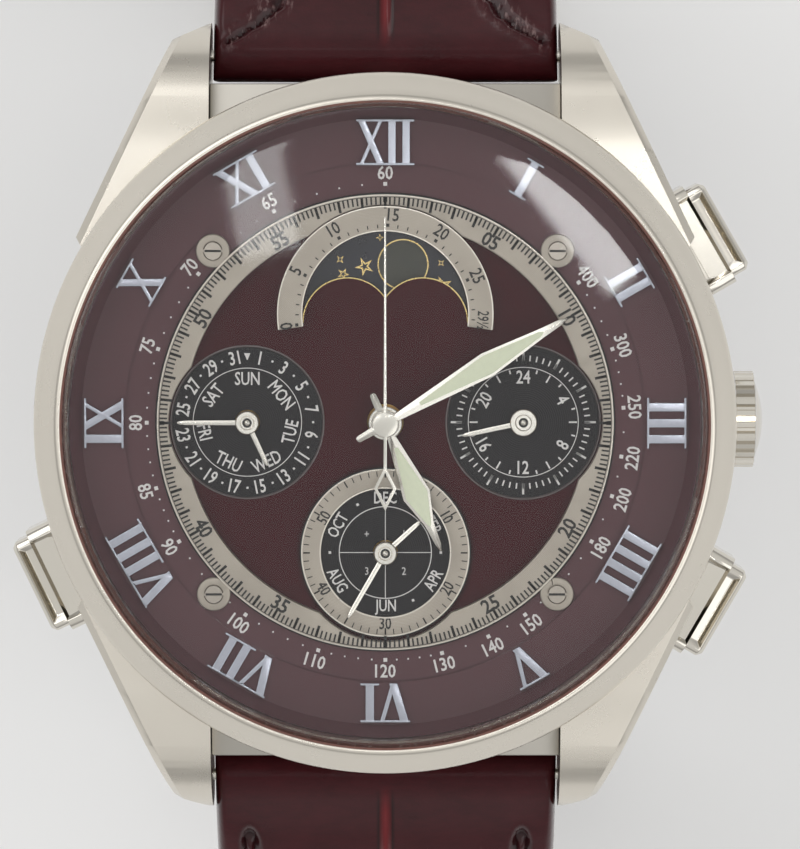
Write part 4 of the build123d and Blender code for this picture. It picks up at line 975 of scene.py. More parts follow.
class WATCH_OT_dial(Step, bpy.types.Operator):
    """The dial, its outer ring, the scale rings and the subdials"""

    bl_idname = "watch.dial"
    bl_label = "Dial and rings"

    screw_circle = 15.2
    screw_profile = (
        (0.02, 8.02), (0.56, 8.02), (0.6, 8.06), (0.6, 8.24), (0.54, 8.3), (0.02, 8.3)
    )
    slot_half, slot_floor, slot_top = 0.08, 8.16, 8.5

    def ring_screws(self):
        """The slotted heads in the ears of the chapter ring, and a black bar in each slot that is
        painted shade.
        """
        heads, painted_slot_shades = [], Print(self.slot_floor - 0.008)
        half = self.slot_half
        for quarter in range(4):
            x, y = centre = place_on(AXIS, self.screw_circle, 45 + 90 * quarter)
            head = turned("head", self.screw_profile, centre, 64)
            height = (self.slot_floor, self.slot_top)
            heads.append(cut(head, box((x - 1, x + 1), (y - half, y + half), height, 0.01)))
            # A black bar at the foot of each slot: painted shade in the slot
            painted_slot_shades.bars(1.02, 0.13, 0, centre=centre)
        screws = join("ring_screw_heads", heads)
        smooth(screws, 25)
        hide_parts("chapter_ring_screws")
        paint(screws, steel("ring_screw_steel", tone(172, 165, 155), 0.3), "case")
        painted_slot_shades.done("ring_screw_slot_shade", black_ink(), "screw_steel")

    def rims(self):
        """The raised edges of the side subdials and of the scale rings."""
        rim_metal = steel("rim_metal", tone(120, 112, 112), 0.3)
        for name, centre, radius in (("left", CALENDAR, 4.83), ("right", HOURS, 4.87)):
            low, high = SUBDIAL_Z, SUBDIAL_Z + 0.07
            profile = [
                (radius - 0.14, low), (radius, low), (radius, high - 0.02),
                (radius - 0.03, high), (radius - 0.07, high), (radius - 0.14, low),
            ]
            rim = turned(name + "_face_rim", profile, centre, FACE_SIDES)
            paint(rim, rim_metal, "case")
        low, high = CHAPTER_Z - 0.02, CHAPTER_Z + 0.05
        profile = [
            (14.18, low), (14.29, low), (14.29, high - 0.03), (14.26, high), (14.2, high),
            (14.18, high - 0.02), (14.18, low),
        ]
        paint(turned("chapter_rim", profile), steel(), "case")
        low, high = MONTH_RING_Z - 0.02, MONTH_RING_Z + 0.04
        for name, inner in (("month_outer_rim", 5.2), ("month_inner_rim", 4.05)):
            rim = square_ring(name, inner, inner + 0.08, low, high, MONTH)
            paint(rim, steel(), "case")

    def build(self):
        dial, flange = colours().dial[:], colours().flange[:]
        paint_node(lacquer("dial_lacquer", part(dial, 0.75), part(dial, 1.2)), "dial")
        ring = lacquer("flange_lacquer", part(flange, 0.8), part(flange, 1.15), 0.16, 0.5)
        paint_node(ring, "dial_flange")
        silver = ringed(
            "silver_scale", tone(150, 142, 131), tone(192, 184, 171), 0.09, 0.36, 0.5,
            depth=0.0015,
        )
        for node in ("chapter_ring", "moon_scale_ring", "month_scale_ring"):
            piece = softened(node, node + "_plate", 0.08, 3, flat=0)
            paint(piece, silver, "case")
        self.ring_screws()
        for node, centre in (
            ("calendar_subdial", CALENDAR), ("hours_subdial", HOURS), ("month_subdial", MONTH)
        ):
            dark, light = tone(14, 13, 16), tone(30, 27, 31)
            face = ringed(node + "_face", dark, light, 0.13, 0.3, centre=centre, gloss=0.2)
            paint_node(face, node)
        self.rims()
        gaps = Print(FLANGE_Z)
        gaps.circle(14.3, 14.37, RING_SIDES)
        gaps.low = DIAL_Z - 0.002 + PRINT_LIFT
        gaps.circle(5.28, 5.36, centre=MONTH)
        gaps.done("shadow_gaps", black_ink(), "dial_lacquer")


class WATCH_OT_outer_scale(Step, bpy.types.Operator):
    """The numbers and dots round the outer ring"""

    bl_idname = "watch.outer_scale"
    bl_label = "Outer scale"

    # Each number and its angle
    numbers = (
        (60, 0), (65, 332.3), (70, 308.6), (75, 288), (80, 270), (85, 254), (90, 240),
        (100, 216), (110, 196.4), (120, 180), (130, 166.2), (140, 154.3), (150, 144),
        (180, 120), (200, 108), (220, 98.2), (250, 86.4), (300, 72), (400, 54),
    )
    number_circle, dot_circle, dot, small_dot = 15.62, 14.92, 0.24, 0.1
    wide_gap = 13  # a gap between numbers over this many degrees has four dots, others one

    def build(self):
        scale = Print(FLANGE_Z)
        for number, angle in self.numbers:
            scale.words(str(number), 0.84, self.number_circle, angle, bold=0.02)
            scale.bars(self.dot, self.dot, self.dot_circle, angle)
        ordered = sorted(angle for _, angle in self.numbers) + [360.0]
        for low, high in zip(ordered[1:], ordered[2:]):
            steps = 5 if high - low > self.wide_gap else 2
            for index in range(1, steps):
                angle = low + (high - low) * index / steps
                scale.bars(self.small_dot, self.small_dot, self.dot_circle, angle)
        scale.done("outer_scale_print", white_ink(), "numeral_metal")


class WATCH_OT_minute_track(Step, bpy.types.Operator):
    """The minute track and its numbers on the chapter ring"""

    bl_idname = "watch.minute_track"
    bl_label = "Minute track"

    def build(self):
        track = Print(CHAPTER_Z)
        track.bars(0.11, 0.48, 13.87, count=300)
        track.bars(0.17, 0.72, 13.75, count=60)
        track.bars(0.26, 0.3, 13.95, count=4)
        track.circle(14.1, 14.14, RING_SIDES)
        for minute in range(5, 60, 5):
            if minute % 15:
                track.words(f"{minute:02d}", 0.9, 13.14, minute * 6, 0.92, 0.028)
        track.done("minute_track_print", black_ink(), "silver_scale")


class WATCH_OT_moon_window(Step, bpy.types.Operator):
    """The age scale over the moon window, the window's rim and the moon disc's print"""

    bl_idname = "watch.moon_window"
    bl_label = "Moon window"

    # The stars on the disc: clockwise angle, distance from its centre, size, points
    stars = (
        (-24, 3.2, 0.62, 5), (-47, 3.6, 0.42, 5), (-62, 2.6, 0.46, 4), (-40, 4.4, 0.3, 4),
        (64, 4.0, 0.62, 4), (84, 3.2, 0.34, 5), (112, 3.4, 0.6, 5), (140, 3.0, 0.45, 4),
        (168, 3.6, 0.3, 5), (232, 3.4, 0.6, 5), (256, 2.9, 0.4, 4), (275, 3.7, 0.34, 5),
        (-4, 4.75, 0.26, 4), (48, 4.7, 0.26, 4), (-80, 4.3, 0.3, 4),
    )
    star_waist, star_line = 0.36, 0.14
    moon_angles, moon_circle, moon_radius = (20, 200), 3.25, 1.52
    # The age scale: days in a month, the angle of its first day and the angle it spans
    days, first_day, span = 30, -98.5, 197
    scale_end, edge_width = 98.3, 0.07
    # The two round humps of the window's lower edge
    hump_x, hump_y, hump_radius, hump_end = 2.35, 6.24728, 2.8, 57.1

    def star(self, angle, reach, size, points):
        """A small outlined star: a circle whose every second corner is drawn in."""
        rest()
        bpy.ops.mesh.primitive_circle_add(
            vertices=points * 2, radius=size * MM, fill_type="NGON"
        )
        piece = edit(bpy.context.object)
        reshape(piece, lambda v: v.co * self.star_waist if v.index % 2 else None)
        bpy.ops.mesh.select_all(action="SELECT")
        bpy.ops.mesh.inset(thickness=size * self.star_line * MM, use_boundary=True)
        bpy.ops.mesh.delete(type="ONLY_FACE")
        thicken()
        face_out()
        rest()
        x, y = place_on(MOON, reach, angle)
        piece.location = (x * MM, y * MM, (MOON_Z + PRINT_LIFT) * MM)
        piece.rotation_euler = (0, 0, math.radians(-angle))
        return settle(piece, "star")

    def arc(self, centre, radius, start, end, low, high):
        """A thin bar bent round a centre, between clockwise angles."""
        rest()
        bpy.ops.mesh.primitive_plane_add(size=MM)
        piece = edit(bpy.context.object)
        bpy.ops.transform.resize(value=(self.edge_width, high - low, 1))

        def stand(vertex):
            x, y = place_on(centre, radius + vertex.co.x / MM, start)
            return x * MM, y * MM, (low + high) / 2 * MM + vertex.co.y

        reshape(piece, stand)
        bpy.ops.mesh.select_all(action="SELECT")
        bpy.ops.mesh.spin(
            steps=max(6, int(abs(end - start) / 5)), angle=math.radians(end - start),
            center=(centre[0] * MM, centre[1] * MM, 0), axis=(0, 0, 1),
        )
        close_up(piece)
        return smooth(piece, 40)

    def age_scale(self):
        """The days on the arch, with a number at every fifth."""
        scale = Print(ARCH_Z, MOON)
        for day in range(self.days):
            angle = self.first_day + self.span * (day + 0.25) / self.days
            if day % 5:
                scale.bars(0.07, 0.22, 5.5, angle)
            else:
                clear_of_hand = 3.0 if day == 15 else 0.0
                scale.words(str(day), 0.8, 6.22, angle + clear_of_hand, 0.84, 0.016, False)
                scale.bars(0.2, 0.2, 5.56, angle)
        scale.words("29\u00bd", 0.72, 6.1, 93.4, 0.66, 0.012, False)
        scale.done("moon_age_print", black_ink(), "silver_scale")

    def moon_face(self, centre):
        """A thin disc on the moon disc."""
        low, high = MOON_Z + 0.002, MOON_Z + 0.012
        rim = self.moon_radius + 0.01
        face = turned("moon_face", [(0.1, low), (rim, low), (rim, high), (0.1, high)], centre, 96)
        edit(face)
        bpy.ops.mesh.select_all(action="DESELECT")
        bpy.ops.mesh.select_mode(type="EDGE")
        bpy.ops.mesh.select_non_manifold()
        bpy.ops.mesh.edge_face_add()
        rest()
        return face

    def build(self):
        self.age_scale()
        gold = ink("gold_leaf", tone(214, 190, 128), 0.28, 0.9)
        humps = [
            self.arc(
                (side * self.hump_x, self.hump_y), self.hump_radius, side * 90,
                -side * self.hump_end, DIAL_Z, DIAL_Z + 0.06,
            )
            for side in (1, -1)
        ]
        paint(join("moon_window_rim", humps), gold, "case")
        edges = [
            self.arc(MOON, radius, -self.scale_end, self.scale_end, ARCH_Z - 0.03, ARCH_Z + 0.04)
            for radius in (6.72, 5.22)
        ]
        paint(join("moon_scale_rim", edges), steel(), "case")
        moons = [place_on(MOON, self.moon_circle, angle) for angle in self.moon_angles]
        prints = Print(MOON_Z)
        for centre in moons:
            prints.circle(self.moon_radius, self.moon_radius + 0.08, centre=centre)
        prints.pieces += [self.star(*star) for star in self.stars]
        prints.done("moon_disc_print", gold, "moon_print", "moon")
        disc = join("moon_faces", [self.moon_face(centre) for centre in moons])
        edit(disc)
        bpy.ops.mesh.normals_make_consistent(inside=False)
        rest()
        shade = plain("moon_shade", tone(44, 46, 40), tone(74, 74, 62), 0.5, 0.35)
        paint(disc, shade, "moon")
        paint_node(plain("night_blue", tone(10, 12, 26), tone(22, 26, 46), 0.7, 0.3), "moon_disc")


class WATCH_OT_calendar(Step, bpy.types.Operator):
    """The date and weekday print on the left subdial"""

    bl_idname = "watch.calendar"
    bl_label = "Calendar print"

    day_step, date_circle, day_circle = 11.25, 4.12, 2.74
    weekdays = ("SUN", "MON", "TUE", "WED", "THU", "FRI", "SAT")

    def build(self):
        face = Print(SUBDIAL_Z, CALENDAR)
        face.circle(3.37, 3.42)
        for day in range(1, 32, 2):
            face.words(str(day), 0.86, self.date_circle - 0.02, day * self.day_step, 0.72, 0.018)
        for day in range(2, 32, 2):
            face.bars(0.13, 0.13, self.date_circle, day * self.day_step)
        face.bars(0.4, 0.42, self.date_circle, taper=0.1)
        for index, name in enumerate(self.weekdays):
            face.words(name, 0.84, self.day_circle, index * 360 / 7, 0.72, 0.014)
        face.done("calendar_print", white_ink(), "subdial_black")


class WATCH_OT_hours(Step, bpy.types.Operator):
    """The twenty-four hour print on the right subdial"""

    bl_idname = "watch.hours"
    bl_label = "Hours print"

    tick_top = 3.36  # where the inner ticks end, under the circle

    def build(self):
        face = Print(SUBDIAL_Z, HOURS)
        face.circle(3.42, 3.47)
        face.bars(0.09, 0.36, 4.02, count=60)
        face.bars(0.13, 0.7, 4.19, count=12)
        for index, hour in enumerate((24, 4, 8, 12, 16, 20)):
            face.words(str(hour), 0.84, 2.84, index * 60, 0.78, 0.016)
        for hour in range(1, 24):
            if hour % 4:
                length = 0.24 if hour % 2 else 0.5
                face.bars(0.1, length, self.tick_top - length / 2, hour * 15)
        face.done("hours_print", white_ink(), "subdial_black")


class WATCH_OT_months(Step, bpy.types.Operator):
    """The months and the small minute track on the lower subdial"""

    bl_idname = "watch.months"
    bl_label = "Month print"

    months = ("DEC", "FEB", "APR", "JUN", "AUG", "OCT")
    years = ("1", "2", "3", "+")  # years since the last leap year

    def build(self):
        face = Print(SUBDIAL_Z, MONTH)
        face.circle(2.86, 2.92)
        for index, name in enumerate(self.months):
            face.words(name, 0.76, 3.46, index * 60, 0.72, 0.014)
            face.bars(0.16, 0.16, 3.48, index * 60 + 30)
        for index, year in enumerate(self.years):
            face.bars(0.05, 2.2, 1.78, index * 90)
            quarter = place_on(MONTH, 1.65, index * 90 + 45)
            face.words(year, 0.5, 0, 0, flip=False, centre=quarter)
        face.done("month_print", white_ink(), "subdial_black")
        track = Print(MONTH_RING_Z, MONTH)
        track.bars(0.06, 0.34, 4.98, count=60)
        track.bars(0.09, 0.42, 4.94, count=12)
        for minute in (10, 20, 30, 40, 50):
            track.words(str(minute), 0.76, 4.44, minute * 6, 0.76, 0.018)
        track.done("small_minute_print", black_ink(), "silver_scale")


class WATCH_OT_numerals(Step, bpy.types.Operator):
    """The applied numerals with softened edges"""

    bl_idname = "watch.numerals"
    bl_label = "Numerals"

    # Where the twelve stands, and how much narrower and taller it is drawn
    twelve_foot, twelve_side = 14, 3.2
    old_middle, new_middle, narrow, tall = 16.45, 16.2, 0.88, 1.17

    def stretch_twelve(self, piece):
        """Draws the twelve taller and narrower than the other numerals."""

        def stretch(vertex):
            x, y, z = vertex.co
            if y <= self.twelve_foot * MM or abs(x) >= self.twelve_side * MM:
                return None
            return x * self.narrow, self.new_middle * MM + (y - self.old_middle * MM) * self.tall, z

        reshape(piece, stretch)

    def build(self):
        numerals = softened(
            "roman_numerals", "applied_numerals", 0.04, flat=0, ease=self.stretch_twelve
        )
        face = ink("numeral_face", tone(190, 194, 206), 0.22, 0.6)
        paint(numerals, face, "case")


class WATCH_OT_hands(Step, bpy.types.Operator):
    """All the hands and their luminous paint"""

    bl_idname = "watch.hands"
    bl_label = "Hands"

    # Body, angle, height, hub radius, distance of the widest place, half width there, length
    main_hands = (
        ("hour", 156.4, 8.35, 1.05, 4.9, 0.9, 8.75),
        ("minute", 59.8, 8.85, 0.86, 7.35, 0.8, 13.1),
    )
    # Their counter-tails as (distance, half width), then heights over the hand's foot
    tail = ((-2.05, 0.1), (-1.93, 0.21), (-0.7, 0.27), (0.7, 0.24))
    edge_z, ridge_z, lume_low, lume_lift = 0.15, 0.26, 0.1, 0.025
    # Body, centre, angle, length, height, hub radius, hub height
    small_hands = (
        ("weekday", CALENDAR, 155, 3.0, 7.55, 0.73, 0.2),
        ("date", CALENDAR, 270, 4.4, 7.85, 0.73, 0.28),
        ("month", MONTH, 47.7, 3.0, 7.55, 0.72, 0.2),
        ("small_minute", MONTH, 210, 4.67, 7.85, 0.72, 0.28),
        ("hours24", HOURS, 258, 3.93, 7.7, 0.85, 0.28),
    )

    def half_at(self, stations, distance):
        """A blade's half width at a distance."""
        for (start, half), (end, next_half) in zip(stations, stations[1:]):
            if start <= distance <= end:
                return between(half, next_half, (distance - start) / (end - start))
        return stations[-1][1]

    def blade(self, stations, low, edge, ridge, angle, centre=AXIS, under=None, lift=0.0):
        """A ridged blade along a clockwise angle: (distance, half width) from tail to tip.
        With another blade's stations as under, it lies on that blade's slopes."""
        rest()
        rows = len(stations) - 1
        bpy.ops.mesh.primitive_grid_add(x_subdivisions=2, y_subdivisions=rows, size=1)
        piece = edit(bpy.context.object)

        def shape(vertex):
            distance, half = stations[round((vertex.co.y + 0.5) * rows)]
            side = round(vertex.co.x * 2)
            height = edge if side else ridge
            if under and side:
                height = between(ridge, edge, half / max(half, self.half_at(under, distance)))
            return side * half * MM, distance * MM, (height + lift) * MM

        reshape(piece, shape)
        thicken(-0.1)
        reshape(piece, lambda v: (v.co.x, v.co.y, low * MM) if v.select else None)
        face_out()
        rest()
        bevel(piece, 0.02, 1, 25)
        return smooth(move_to(piece, centre, "blade", angle), 20)

    def main_hand(self, name, angle, z, hub, widest, half, length, metal, glow):
        """A lance hand with its hub and its luminous inlay."""
        tip = ((widest, half), (length - 1.9, 0.32), (length - 0.5, 0.19), (length, 0.03))
        outline = self.tail + tip
        blade = self.blade(outline, z, z + self.edge_z, z + self.ridge_z, angle)
        top = z + 0.2
        profile = [(0.5, z), (hub, z), (hub, z + 0.16), (hub - 0.05, top), (0.5, top), (0.5, z)]
        disc = turned("hub", profile, sides=HUB_SIDES)
        hand = join(name + "_hand_blade", [blade, disc])
        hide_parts(name + "_hand")
        paint(hand, metal, name)
        end = length - 1.95
        plate = [(widest * 0.34, 0.12), (widest, half - 0.17), (end, 0.16), (end + 0.25, 0.02)]
        lume = self.blade(
            plate, z + self.lume_low, z + self.edge_z, z + self.ridge_z, angle, under=outline,
            lift=self.lume_lift,
        )
        lume.name = name + "_lume_plate"
        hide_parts(name + "_lume")
        paint(lume, glow, name)

    def small_hand(self, name, centre, angle, length, z, hub, hub_height, metal):
        """A thin hand with a dished hub, a pin, and a black ring round the pin that is painted
        shade in the hub's hole.
        """
        bar = [(0.3, 0.17), (length - 0.5, 0.15), (length - 0.15, 0.11), (length, 0.03)]
        blade = self.blade(bar, z, z + 0.1, z + 0.15, angle, centre)
        high = z + hub_height
        dish = high - 0.05
        rim = [
            (0.3, z), (hub, z), (hub, high - 0.06), (hub - 0.06, high), (hub * 0.62, high),
            (hub * 0.55, dish), (0.3, dish), (0.3, z),
        ]
        rim = turned("hub", rim, centre, HUB_SIDES)
        pin = [(0.02, z), (0.17, z), (0.17, high - 0.08), (0.12, high - 0.03), (0.02, high)]
        pin = turned("pin", pin, centre, PIN_SIDES)
        # A black ring round the pin: painted shade in the hole of the hub
        painted_pin_shade = square_ring(
            name + "_hand_hole_shade", 0.16, 0.31, z + 0.02, z + 0.06, centre, PIN_SIDES
        )
        paint(painted_pin_shade, black_ink(), name)
        hand = join(name + "_hand_bar", [blade, rim, pin])
        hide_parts(name + "_hand")
        paint(hand, metal, name)

    def build(self):
        metal = steel("hand_steel", tone(232, 229, 220), 0.24)
        green = colours().lume[:]
        glow = plain("lume_paint", part(green, 0.9), green, 0.35)
        for hand in self.main_hands:
            self.main_hand(*hand, metal, glow)
        for hand in self.small_hands:
            self.small_hand(*hand, metal)
        seconds = softened("seconds_hand", "seconds_needle", 0.03, flat=0)
        paint(seconds, metal, "seconds")


class WATCH_OT_movement(Step, bpy.types.Operator):
    """Finishes for the wheels and the movement under the dial"""

    bl_idname = "watch.movement"
    bl_label = "Movement"

    def build(self):
        brass = ringed("wheel_brass", tone(190, 152, 84), tone(214, 178, 108), 0.2, 0.3, 1.0)
        paint_node(
            brass, "hour_wheel", "cannon_pinion", "minute_wheel", "idler_wheel",
            "hours24_wheel", "weekday_wheel", "date_wheel", "month_wheel",
            "small_minute_wheel",
        )
        for node, name, dark, light, *others in (
            ("main_plate", "plate_nickel", (170, 168, 162), (200, 198, 190), 1.1, 0.32, 1.0),
            ("movement_holder", "holder_plastic", (214, 214, 208), (232, 232, 226), 2.0, 0.55),
            ("circuit_board", "board_green", (24, 92, 50), (40, 120, 66), 0.8, 0.3),
            ("battery", "cell_steel", (196, 196, 196), (222, 222, 220), 3.0, 0.25, 1.0),
            ("motor_coils", "coil_copper", (160, 84, 44), (206, 122, 70), 0.2, 0.4, 1.0, 0.05),
        ):
            paint_node(plain(name, tone(*dark), tone(*light), *others), node)


# Strap: where it starts and lies, and how thick it is. A station is a place along a half:
# middle y, middle z, normal y, normal z, outer and inner thickness, distance from the bar.

BAR_Y, BAR_Z = 22.9, 2.4
NOSE = 1.66
OUTER, INNER = 2.35, 1.75
SHORT_THIN, LONG_THIN = 1.3, 1.2
PAD_RISE = 6.0
EXIT = math.radians(25.0)
SHOULDER = 13.0
GROUND = -68.5
SHOULDER_Y = BAR_Y + SHOULDER * (1 - math.sin(EXIT))
SHOULDER_Z = BAR_Z - SHOULDER * math.cos(EXIT)
BUCKLE_Y, BUCKLE_Z = 25.0, GROUND + 1.42
BUCKLE_END = 1.36
BEND = 20.0
BEND_Y, BEND_Z = SHOULDER_Y - BEND, GROUND + LONG_THIN + BEND
FOOT = 25.0
TAPER_END_Z = -45.0
WIDE, NARROW = 10.88, 9.0
SHOULDER_ROWS, SHORT_ROWS, LONG_ROWS, BEND_ROWS, FOOT_ROWS = 66, 150, 100, 60, 70
END_ROWS = 8
ACROSS, EDGE = 96, 8  # columns on each face, and round each side


def swell(distance):
    """How thick the padding is on the outer and inner side, this far from the bar."""
    share = min(1.0, max(0.0, distance) / PAD_RISE)
    share = share ** 2 * (3 - 2 * share)
    return between(NOSE, OUTER, share), between(NOSE, INNER, share)


def shoulder_stations():
    """Stations from the round nose at the bar to the shoulder's end, and the length there."""
    cosine, sine = math.cos(EXIT), math.sin(EXIT)
    stations = []
    for index in range(1, END_ROWS):
        turn = math.pi / 2 * index / END_ROWS
        back, half = NOSE * math.cos(turn), NOSE * math.sin(turn)
        y, z = BAR_Y - cosine * back, BAR_Z + sine * back
        stations.append((y, z, sine, cosine, half, half, -back))
    angle = math.pi / 2 - EXIT
    for index in range(SHOULDER_ROWS + 1):
        turn = EXIT + angle * index / SHOULDER_ROWS
        distance = SHOULDER * angle * index / SHOULDER_ROWS
        ny, nz = math.sin(turn), math.cos(turn)
        y, z = SHOULDER_Y - SHOULDER + SHOULDER * ny, SHOULDER_Z + SHOULDER * nz
        stations.append((y, z, ny, nz, *swell(distance), distance))
    return stations, SHOULDER * angle


def leg_stations(stations, length, end_y, end_z, thin, rows):
    """Adds the straight leg down from the shoulder, which thins out on its way."""
    leg = math.hypot(SHOULDER_Y - end_y, SHOULDER_Z - end_z)
    for index in range(1, rows + 1):
        share = index / rows
        y, z = between(SHOULDER_Y, end_y, share), between(SHOULDER_Z, end_z, share)
        outer, inner = between(OUTER, thin, share), between(INNER, thin, share)
        stations.append((y, z, 1.0, 0.0, outer, inner, length + leg * share))
    return length + leg


def short_stations():
    """All the stations of the buckle half."""
    stations, length = shoulder_stations()
    length = leg_stations(stations, length, BUCKLE_Y, BUCKLE_Z, SHORT_THIN, SHORT_ROWS)
    for index in range(1, END_ROWS):
        turn = math.pi / 2 * index / END_ROWS
        half = min(SHORT_THIN, BUCKLE_END * math.cos(turn))
        drop = BUCKLE_END * math.sin(turn)
        stations.append((BUCKLE_Y, BUCKLE_Z - drop, 1.0, 0.0, half, half, length + drop))
    return stations


def long_stations():
    """All the stations of the hole half, on +Y; it is mirrored later."""
    stations, length = shoulder_stations()
    thin = LONG_THIN
    length = leg_stations(stations, length, SHOULDER_Y, BEND_Z, thin, LONG_ROWS)
    for index in range(1, BEND_ROWS + 1):
        turn = math.pi / 2 * index / BEND_ROWS
        ny, nz = math.cos(turn), -math.sin(turn)
        y, z = BEND_Y + BEND * ny, BEND_Z + BEND * nz
        stations.append((y, z, ny, nz, thin, thin, length + BEND * turn))
    length += BEND * math.pi / 2
    for index in range(1, FOOT_ROWS + 1):
        run = FOOT * index / FOOT_ROWS
        stations.append((BEND_Y - run, GROUND + thin, 0.0, -1.0, thin, thin, length + run))
    return stations


def creases(x, distance, seed, fan):
    """The embossing at a place on the outer face: how far into a crease it lies, how near
    one it is, how high it rolls up beside one, and the middle line. A half with a fan has
    slanted creases beside the lugs, the other one a small dent at each side."""
    side = 1 if x > 0 else -1
    reach = abs(x)
    ahead = max(0.0, distance)
    wave = 0.35 * math.sin(distance * 0.9 + seed) + 0.2 * math.sin(distance * 2.3 + side + seed)
    middle = hill(x, 0.26, 4) * limited((distance + 0.2) / 2.0)

    # The long crease along each flank
    flank = 6.1 + wave * 0.5 * min(1.0, ahead / 4)
    dent = 0.0
    if fan:
        flank += 4.3 * math.exp(-((ahead / 1.6) ** 1.25))
        ripple = 0.1 * math.sin(distance * 6.5 + side) + 0.07 * math.sin(distance * 11 + seed)
        gaps = [abs(reach - flank + ripple)]
    else:
        gaps = [abs(reach - flank) + max(0.0, 5.5 - ahead)]
        dent = hill(math.hypot((reach - 8.7) / 0.4, distance - 4.3) - 1, 0.5)

    # Wide scales in the middle and small ones on the flanks
    shift = 3.0 + side * 1.7 + seed
    for scale, start, inside, bow in (
        (8.6, 8, True, shift + 0.5 * math.cos(reach * 0.42) + wave * 0.5),
        (4.3, 3 if fan else 6, False, shift * 1.7 + reach * 0.35 * side + wave),
    ):
        along = (distance + bow) % scale
        if distance > start and reach != flank and (reach < flank) == inside:
            gaps.append(min(along, scale - along))
    near = min(gaps)
    return max(hill(near, 0.34), dent), hill(near, 1.2), hill(near - 0.95, 0.45), middle


def strap_half(name, stations, taper_end, seed, mirror):
    """A padded strap half: a sheet rolled round the stations, embossed on its outer face."""
    around = 2 * (ACROSS + EDGE)
    rows = len(stations) - 1
    rest()
    bpy.ops.mesh.primitive_grid_add(x_subdivisions=around, y_subdivisions=rows, size=1)
    piece = bpy.context.object
    mesh = piece.data
    for label in ("fold", "pucker", "middle"):
        mesh.attributes.new(label, "FLOAT", "POINT")
    depth = sizes().emboss_depth / MM
    for index, vertex in enumerate(mesh.vertices):
        column = round((vertex.co.x + 0.5) * around) % around
        y, z, ny, nz, outer, inner, distance = stations[round((vertex.co.y + 0.5) * rows)]
        half = between(WIDE, NARROW, limited((SHOULDER_Z - z) / (SHOULDER_Z - taper_end)))
        round_by = min(0.55, min(outer, inner) * 0.7)
        flat = half - round_by
        if column <= ACROSS:
            x, lift = (column / ACROSS * 2 - 1) * flat, outer
            inset = flat - abs(x)
            crown = 0.0
            if distance > 0:
                crown = -0.3 * max(0.0, 1 - inset / 3.0) ** 2 * min(1.0, distance / 4)
            crease, near, roll, line = creases(x, distance, seed, mirror > 0)
            fade = limited((distance + 0.8) / 0.9) * min(1.0, inset / 0.4)
            thin = min(1.0, outer / 2.0)
            lift += crown + depth * fade * thin * (0.22 * roll - max(crease, line * 0.6))
            border = hill(abs(x) - 0.4, 0.13) * limited(distance)
            mesh.attributes["fold"].data[index].value = max(crease, border) * fade
            mesh.attributes["pucker"].data[index].value = near * fade
            mesh.attributes["middle"].data[index].value = line * fade
        elif ACROSS + EDGE <= column <= 2 * ACROSS + EDGE:
            x, lift = (1 - (column - ACROSS - EDGE) / ACROSS * 2) * flat, -inner
        else:
            side = 1 if column < ACROSS + EDGE else -1
            turn = math.pi * (column % (ACROSS + EDGE) - ACROSS) / EDGE
            x = side * (flat + round_by * math.sin(turn))
            top = outer - (0.3 if distance > 4 else 0.075 * max(0.0, distance))
            lift = (top - inner) / 2 + side * (top + inner) / 2 * math.cos(turn)
        vertex.co = (x * MM, (y + ny * lift) * MM * mirror, (z + nz * lift) * MM)
    for polygon in mesh.polygons:
        column = min(
            round(mesh.uv_layers[0].data[loop].uv.x * around) for loop in polygon.loop_indices
        )
        lined = ACROSS + EDGE * 0.5 <= column < 2 * ACROSS + EDGE * 1.5
        polygon.material_index = 1 if lined else 0
    edit(piece)
    bpy.ops.mesh.remove_doubles(threshold=MERGE)
    bpy.ops.mesh.select_mode(type="EDGE")
    bpy.ops.mesh.select_all(action="DESELECT")
    bpy.ops.mesh.select_non_manifold(
        extend=False, use_wire=False, use_boundary=True, use_multi_face=False,
        use_non_contiguous=False, use_verts=False,
    )
    bpy.ops.mesh.fill_holes(sides=0)
    face_out()
    return settle(piece, name)


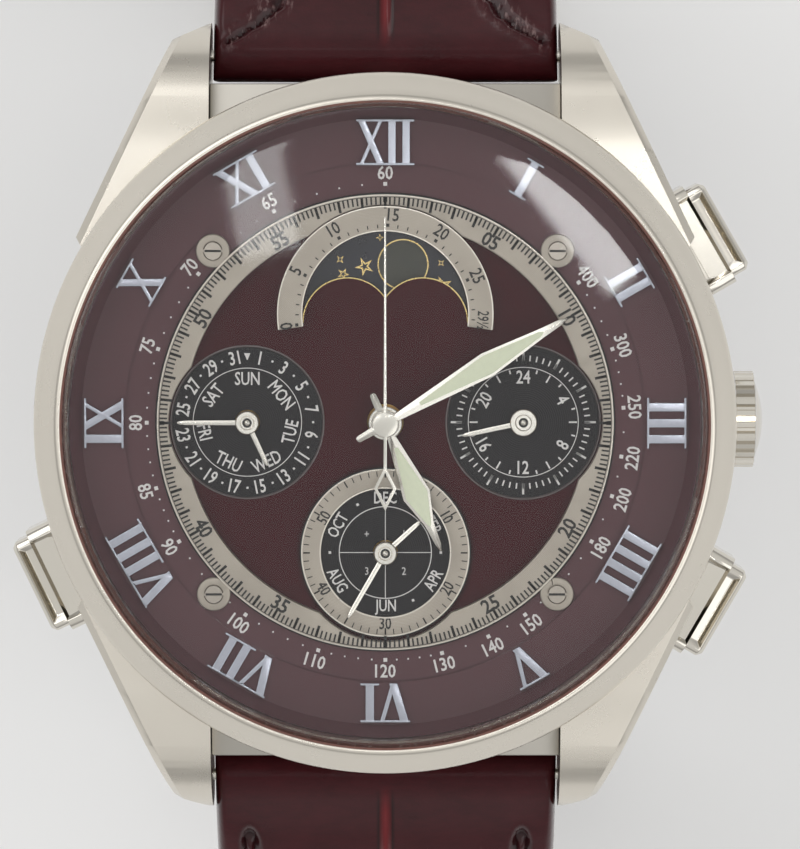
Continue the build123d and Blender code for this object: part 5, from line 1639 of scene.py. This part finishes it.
class WATCH_OT_strap(Step, bpy.types.Operator):
    """The two padded leather halves and the keepers"""

    bl_idname = "watch.strap"
    bl_label = "Strap"

    hole_count, hole_pitch, hole_start, hole_radius = 7, 6.5, 13.0, 0.9
    slot_half, slot_near, slot_far, slot_depth = 1.3, 21.6, 28.4, 8.0

    def holes(self):
        """Cutters for the buckle holes, upright through the foot and square to the bend."""
        pegs = []
        for index in range(self.hole_count):
            ahead = self.hole_start - self.hole_pitch * index
            turn = max(0.0, -ahead) / BEND
            y = BEND_Y + BEND * math.sin(turn) - max(0.0, ahead)
            z = BEND_Z - BEND * math.cos(turn)
            rest()
            bpy.ops.mesh.primitive_cylinder_add(
                vertices=PIN_SIDES, radius=self.hole_radius * MM, depth=6 * MM
            )
            peg = bpy.context.object
            peg.location = (0, -y * MM, z * MM)
            peg.rotation_euler = (-turn, 0, 0)
            pegs.append(peg)
        return join("holes", pegs)

    def build(self):
        hide = colours().strap[:]
        skin = leather(
            part(hide, 0.5), part(hide, 1.6), part(hide, 0.25), tone(108, 28, 33),
            # the pale last colour is the painted glint beside the creases
            tone(178, 150, 148),
        )
        lining = plain("lining_leather", tone(54, 34, 32), tone(74, 48, 44), 0.5, 0.6, 0.0, 0.03)
        short = strap_half("strap_short_leather", short_stations(), BUCKLE_Z, 0.4, 1)
        slot = box(
            (-self.slot_half, self.slot_half), (self.slot_near, self.slot_far),
            (GROUND - 1, BUCKLE_Z + self.slot_depth), 0.2,
        )
        cut(short, slot)
        long = strap_half("strap_long_leather", long_stations(), TAPER_END_Z, 2.1, -1)
        cut(long, self.holes())
        for piece, node in ((short, "strap_short"), (long, "strap_long")):
            smooth(piece, 50)
            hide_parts(node)
            paint(piece, skin, body_of(node))
            piece.data.materials.append(lining)
        for node in ("keeper_fixed", "keeper_free"):
            piece = softened(node, node + "_loop", 0.28, 3)
            paint(piece, skin, body_of(node))


class WATCH_OT_buckle(Step, bpy.types.Operator):
    """The pin buckle"""

    bl_idname = "watch.buckle"
    bl_label = "Buckle"

    def build(self):
        paint(softened("buckle_frame", "buckle_loop", 0.3, 3), steel(), "buckle")
        paint(softened("buckle_tongue", "buckle_pin", 0.15, 3), steel(), "tongue")


OPERATORS = (
    WATCH_OT_stage, WATCH_OT_case, WATCH_OT_case_back, WATCH_OT_crystal, WATCH_OT_dial,
    WATCH_OT_outer_scale, WATCH_OT_minute_track, WATCH_OT_moon_window, WATCH_OT_calendar,
    WATCH_OT_hours, WATCH_OT_months, WATCH_OT_numerals, WATCH_OT_hands, WATCH_OT_movement,
    WATCH_OT_strap, WATCH_OT_buckle,
)


class WATCH_PT_panel(bpy.types.Panel):
    """The watch's sizes, colours and building steps"""

    bl_idname = "WATCH_PT_panel"
    bl_label = "Moon phase watch"
    bl_space_type = "VIEW_3D"
    bl_region_type = "UI"
    bl_category = "Watch"

    def draw(self, context):
        for group in (context.scene.watch_sizes, context.scene.watch_colours):
            for name in group.__annotations__:
                self.layout.prop(group, name)
        for operator in OPERATORS:
            self.layout.operator(operator.bl_idname)


CLASSES = (WatchSizes, WatchColours, *OPERATORS, WATCH_PT_panel)


def register():
    for cls in CLASSES:
        bpy.utils.register_class(cls)
    bpy.types.Scene.watch_sizes = bpy.props.PointerProperty(type=WatchSizes)
    bpy.types.Scene.watch_colours = bpy.props.PointerProperty(type=WatchColours)


def unregister():
    del bpy.types.Scene.watch_colours
    del bpy.types.Scene.watch_sizes
    for cls in reversed(CLASSES):
        bpy.utils.unregister_class(cls)


def main():
    register()
    for operator in OPERATORS:
        group, name = operator.bl_idname.split(".")
        getattr(getattr(bpy.ops, group), name)()
    rest()


if __name__ == "__main__":
    main()
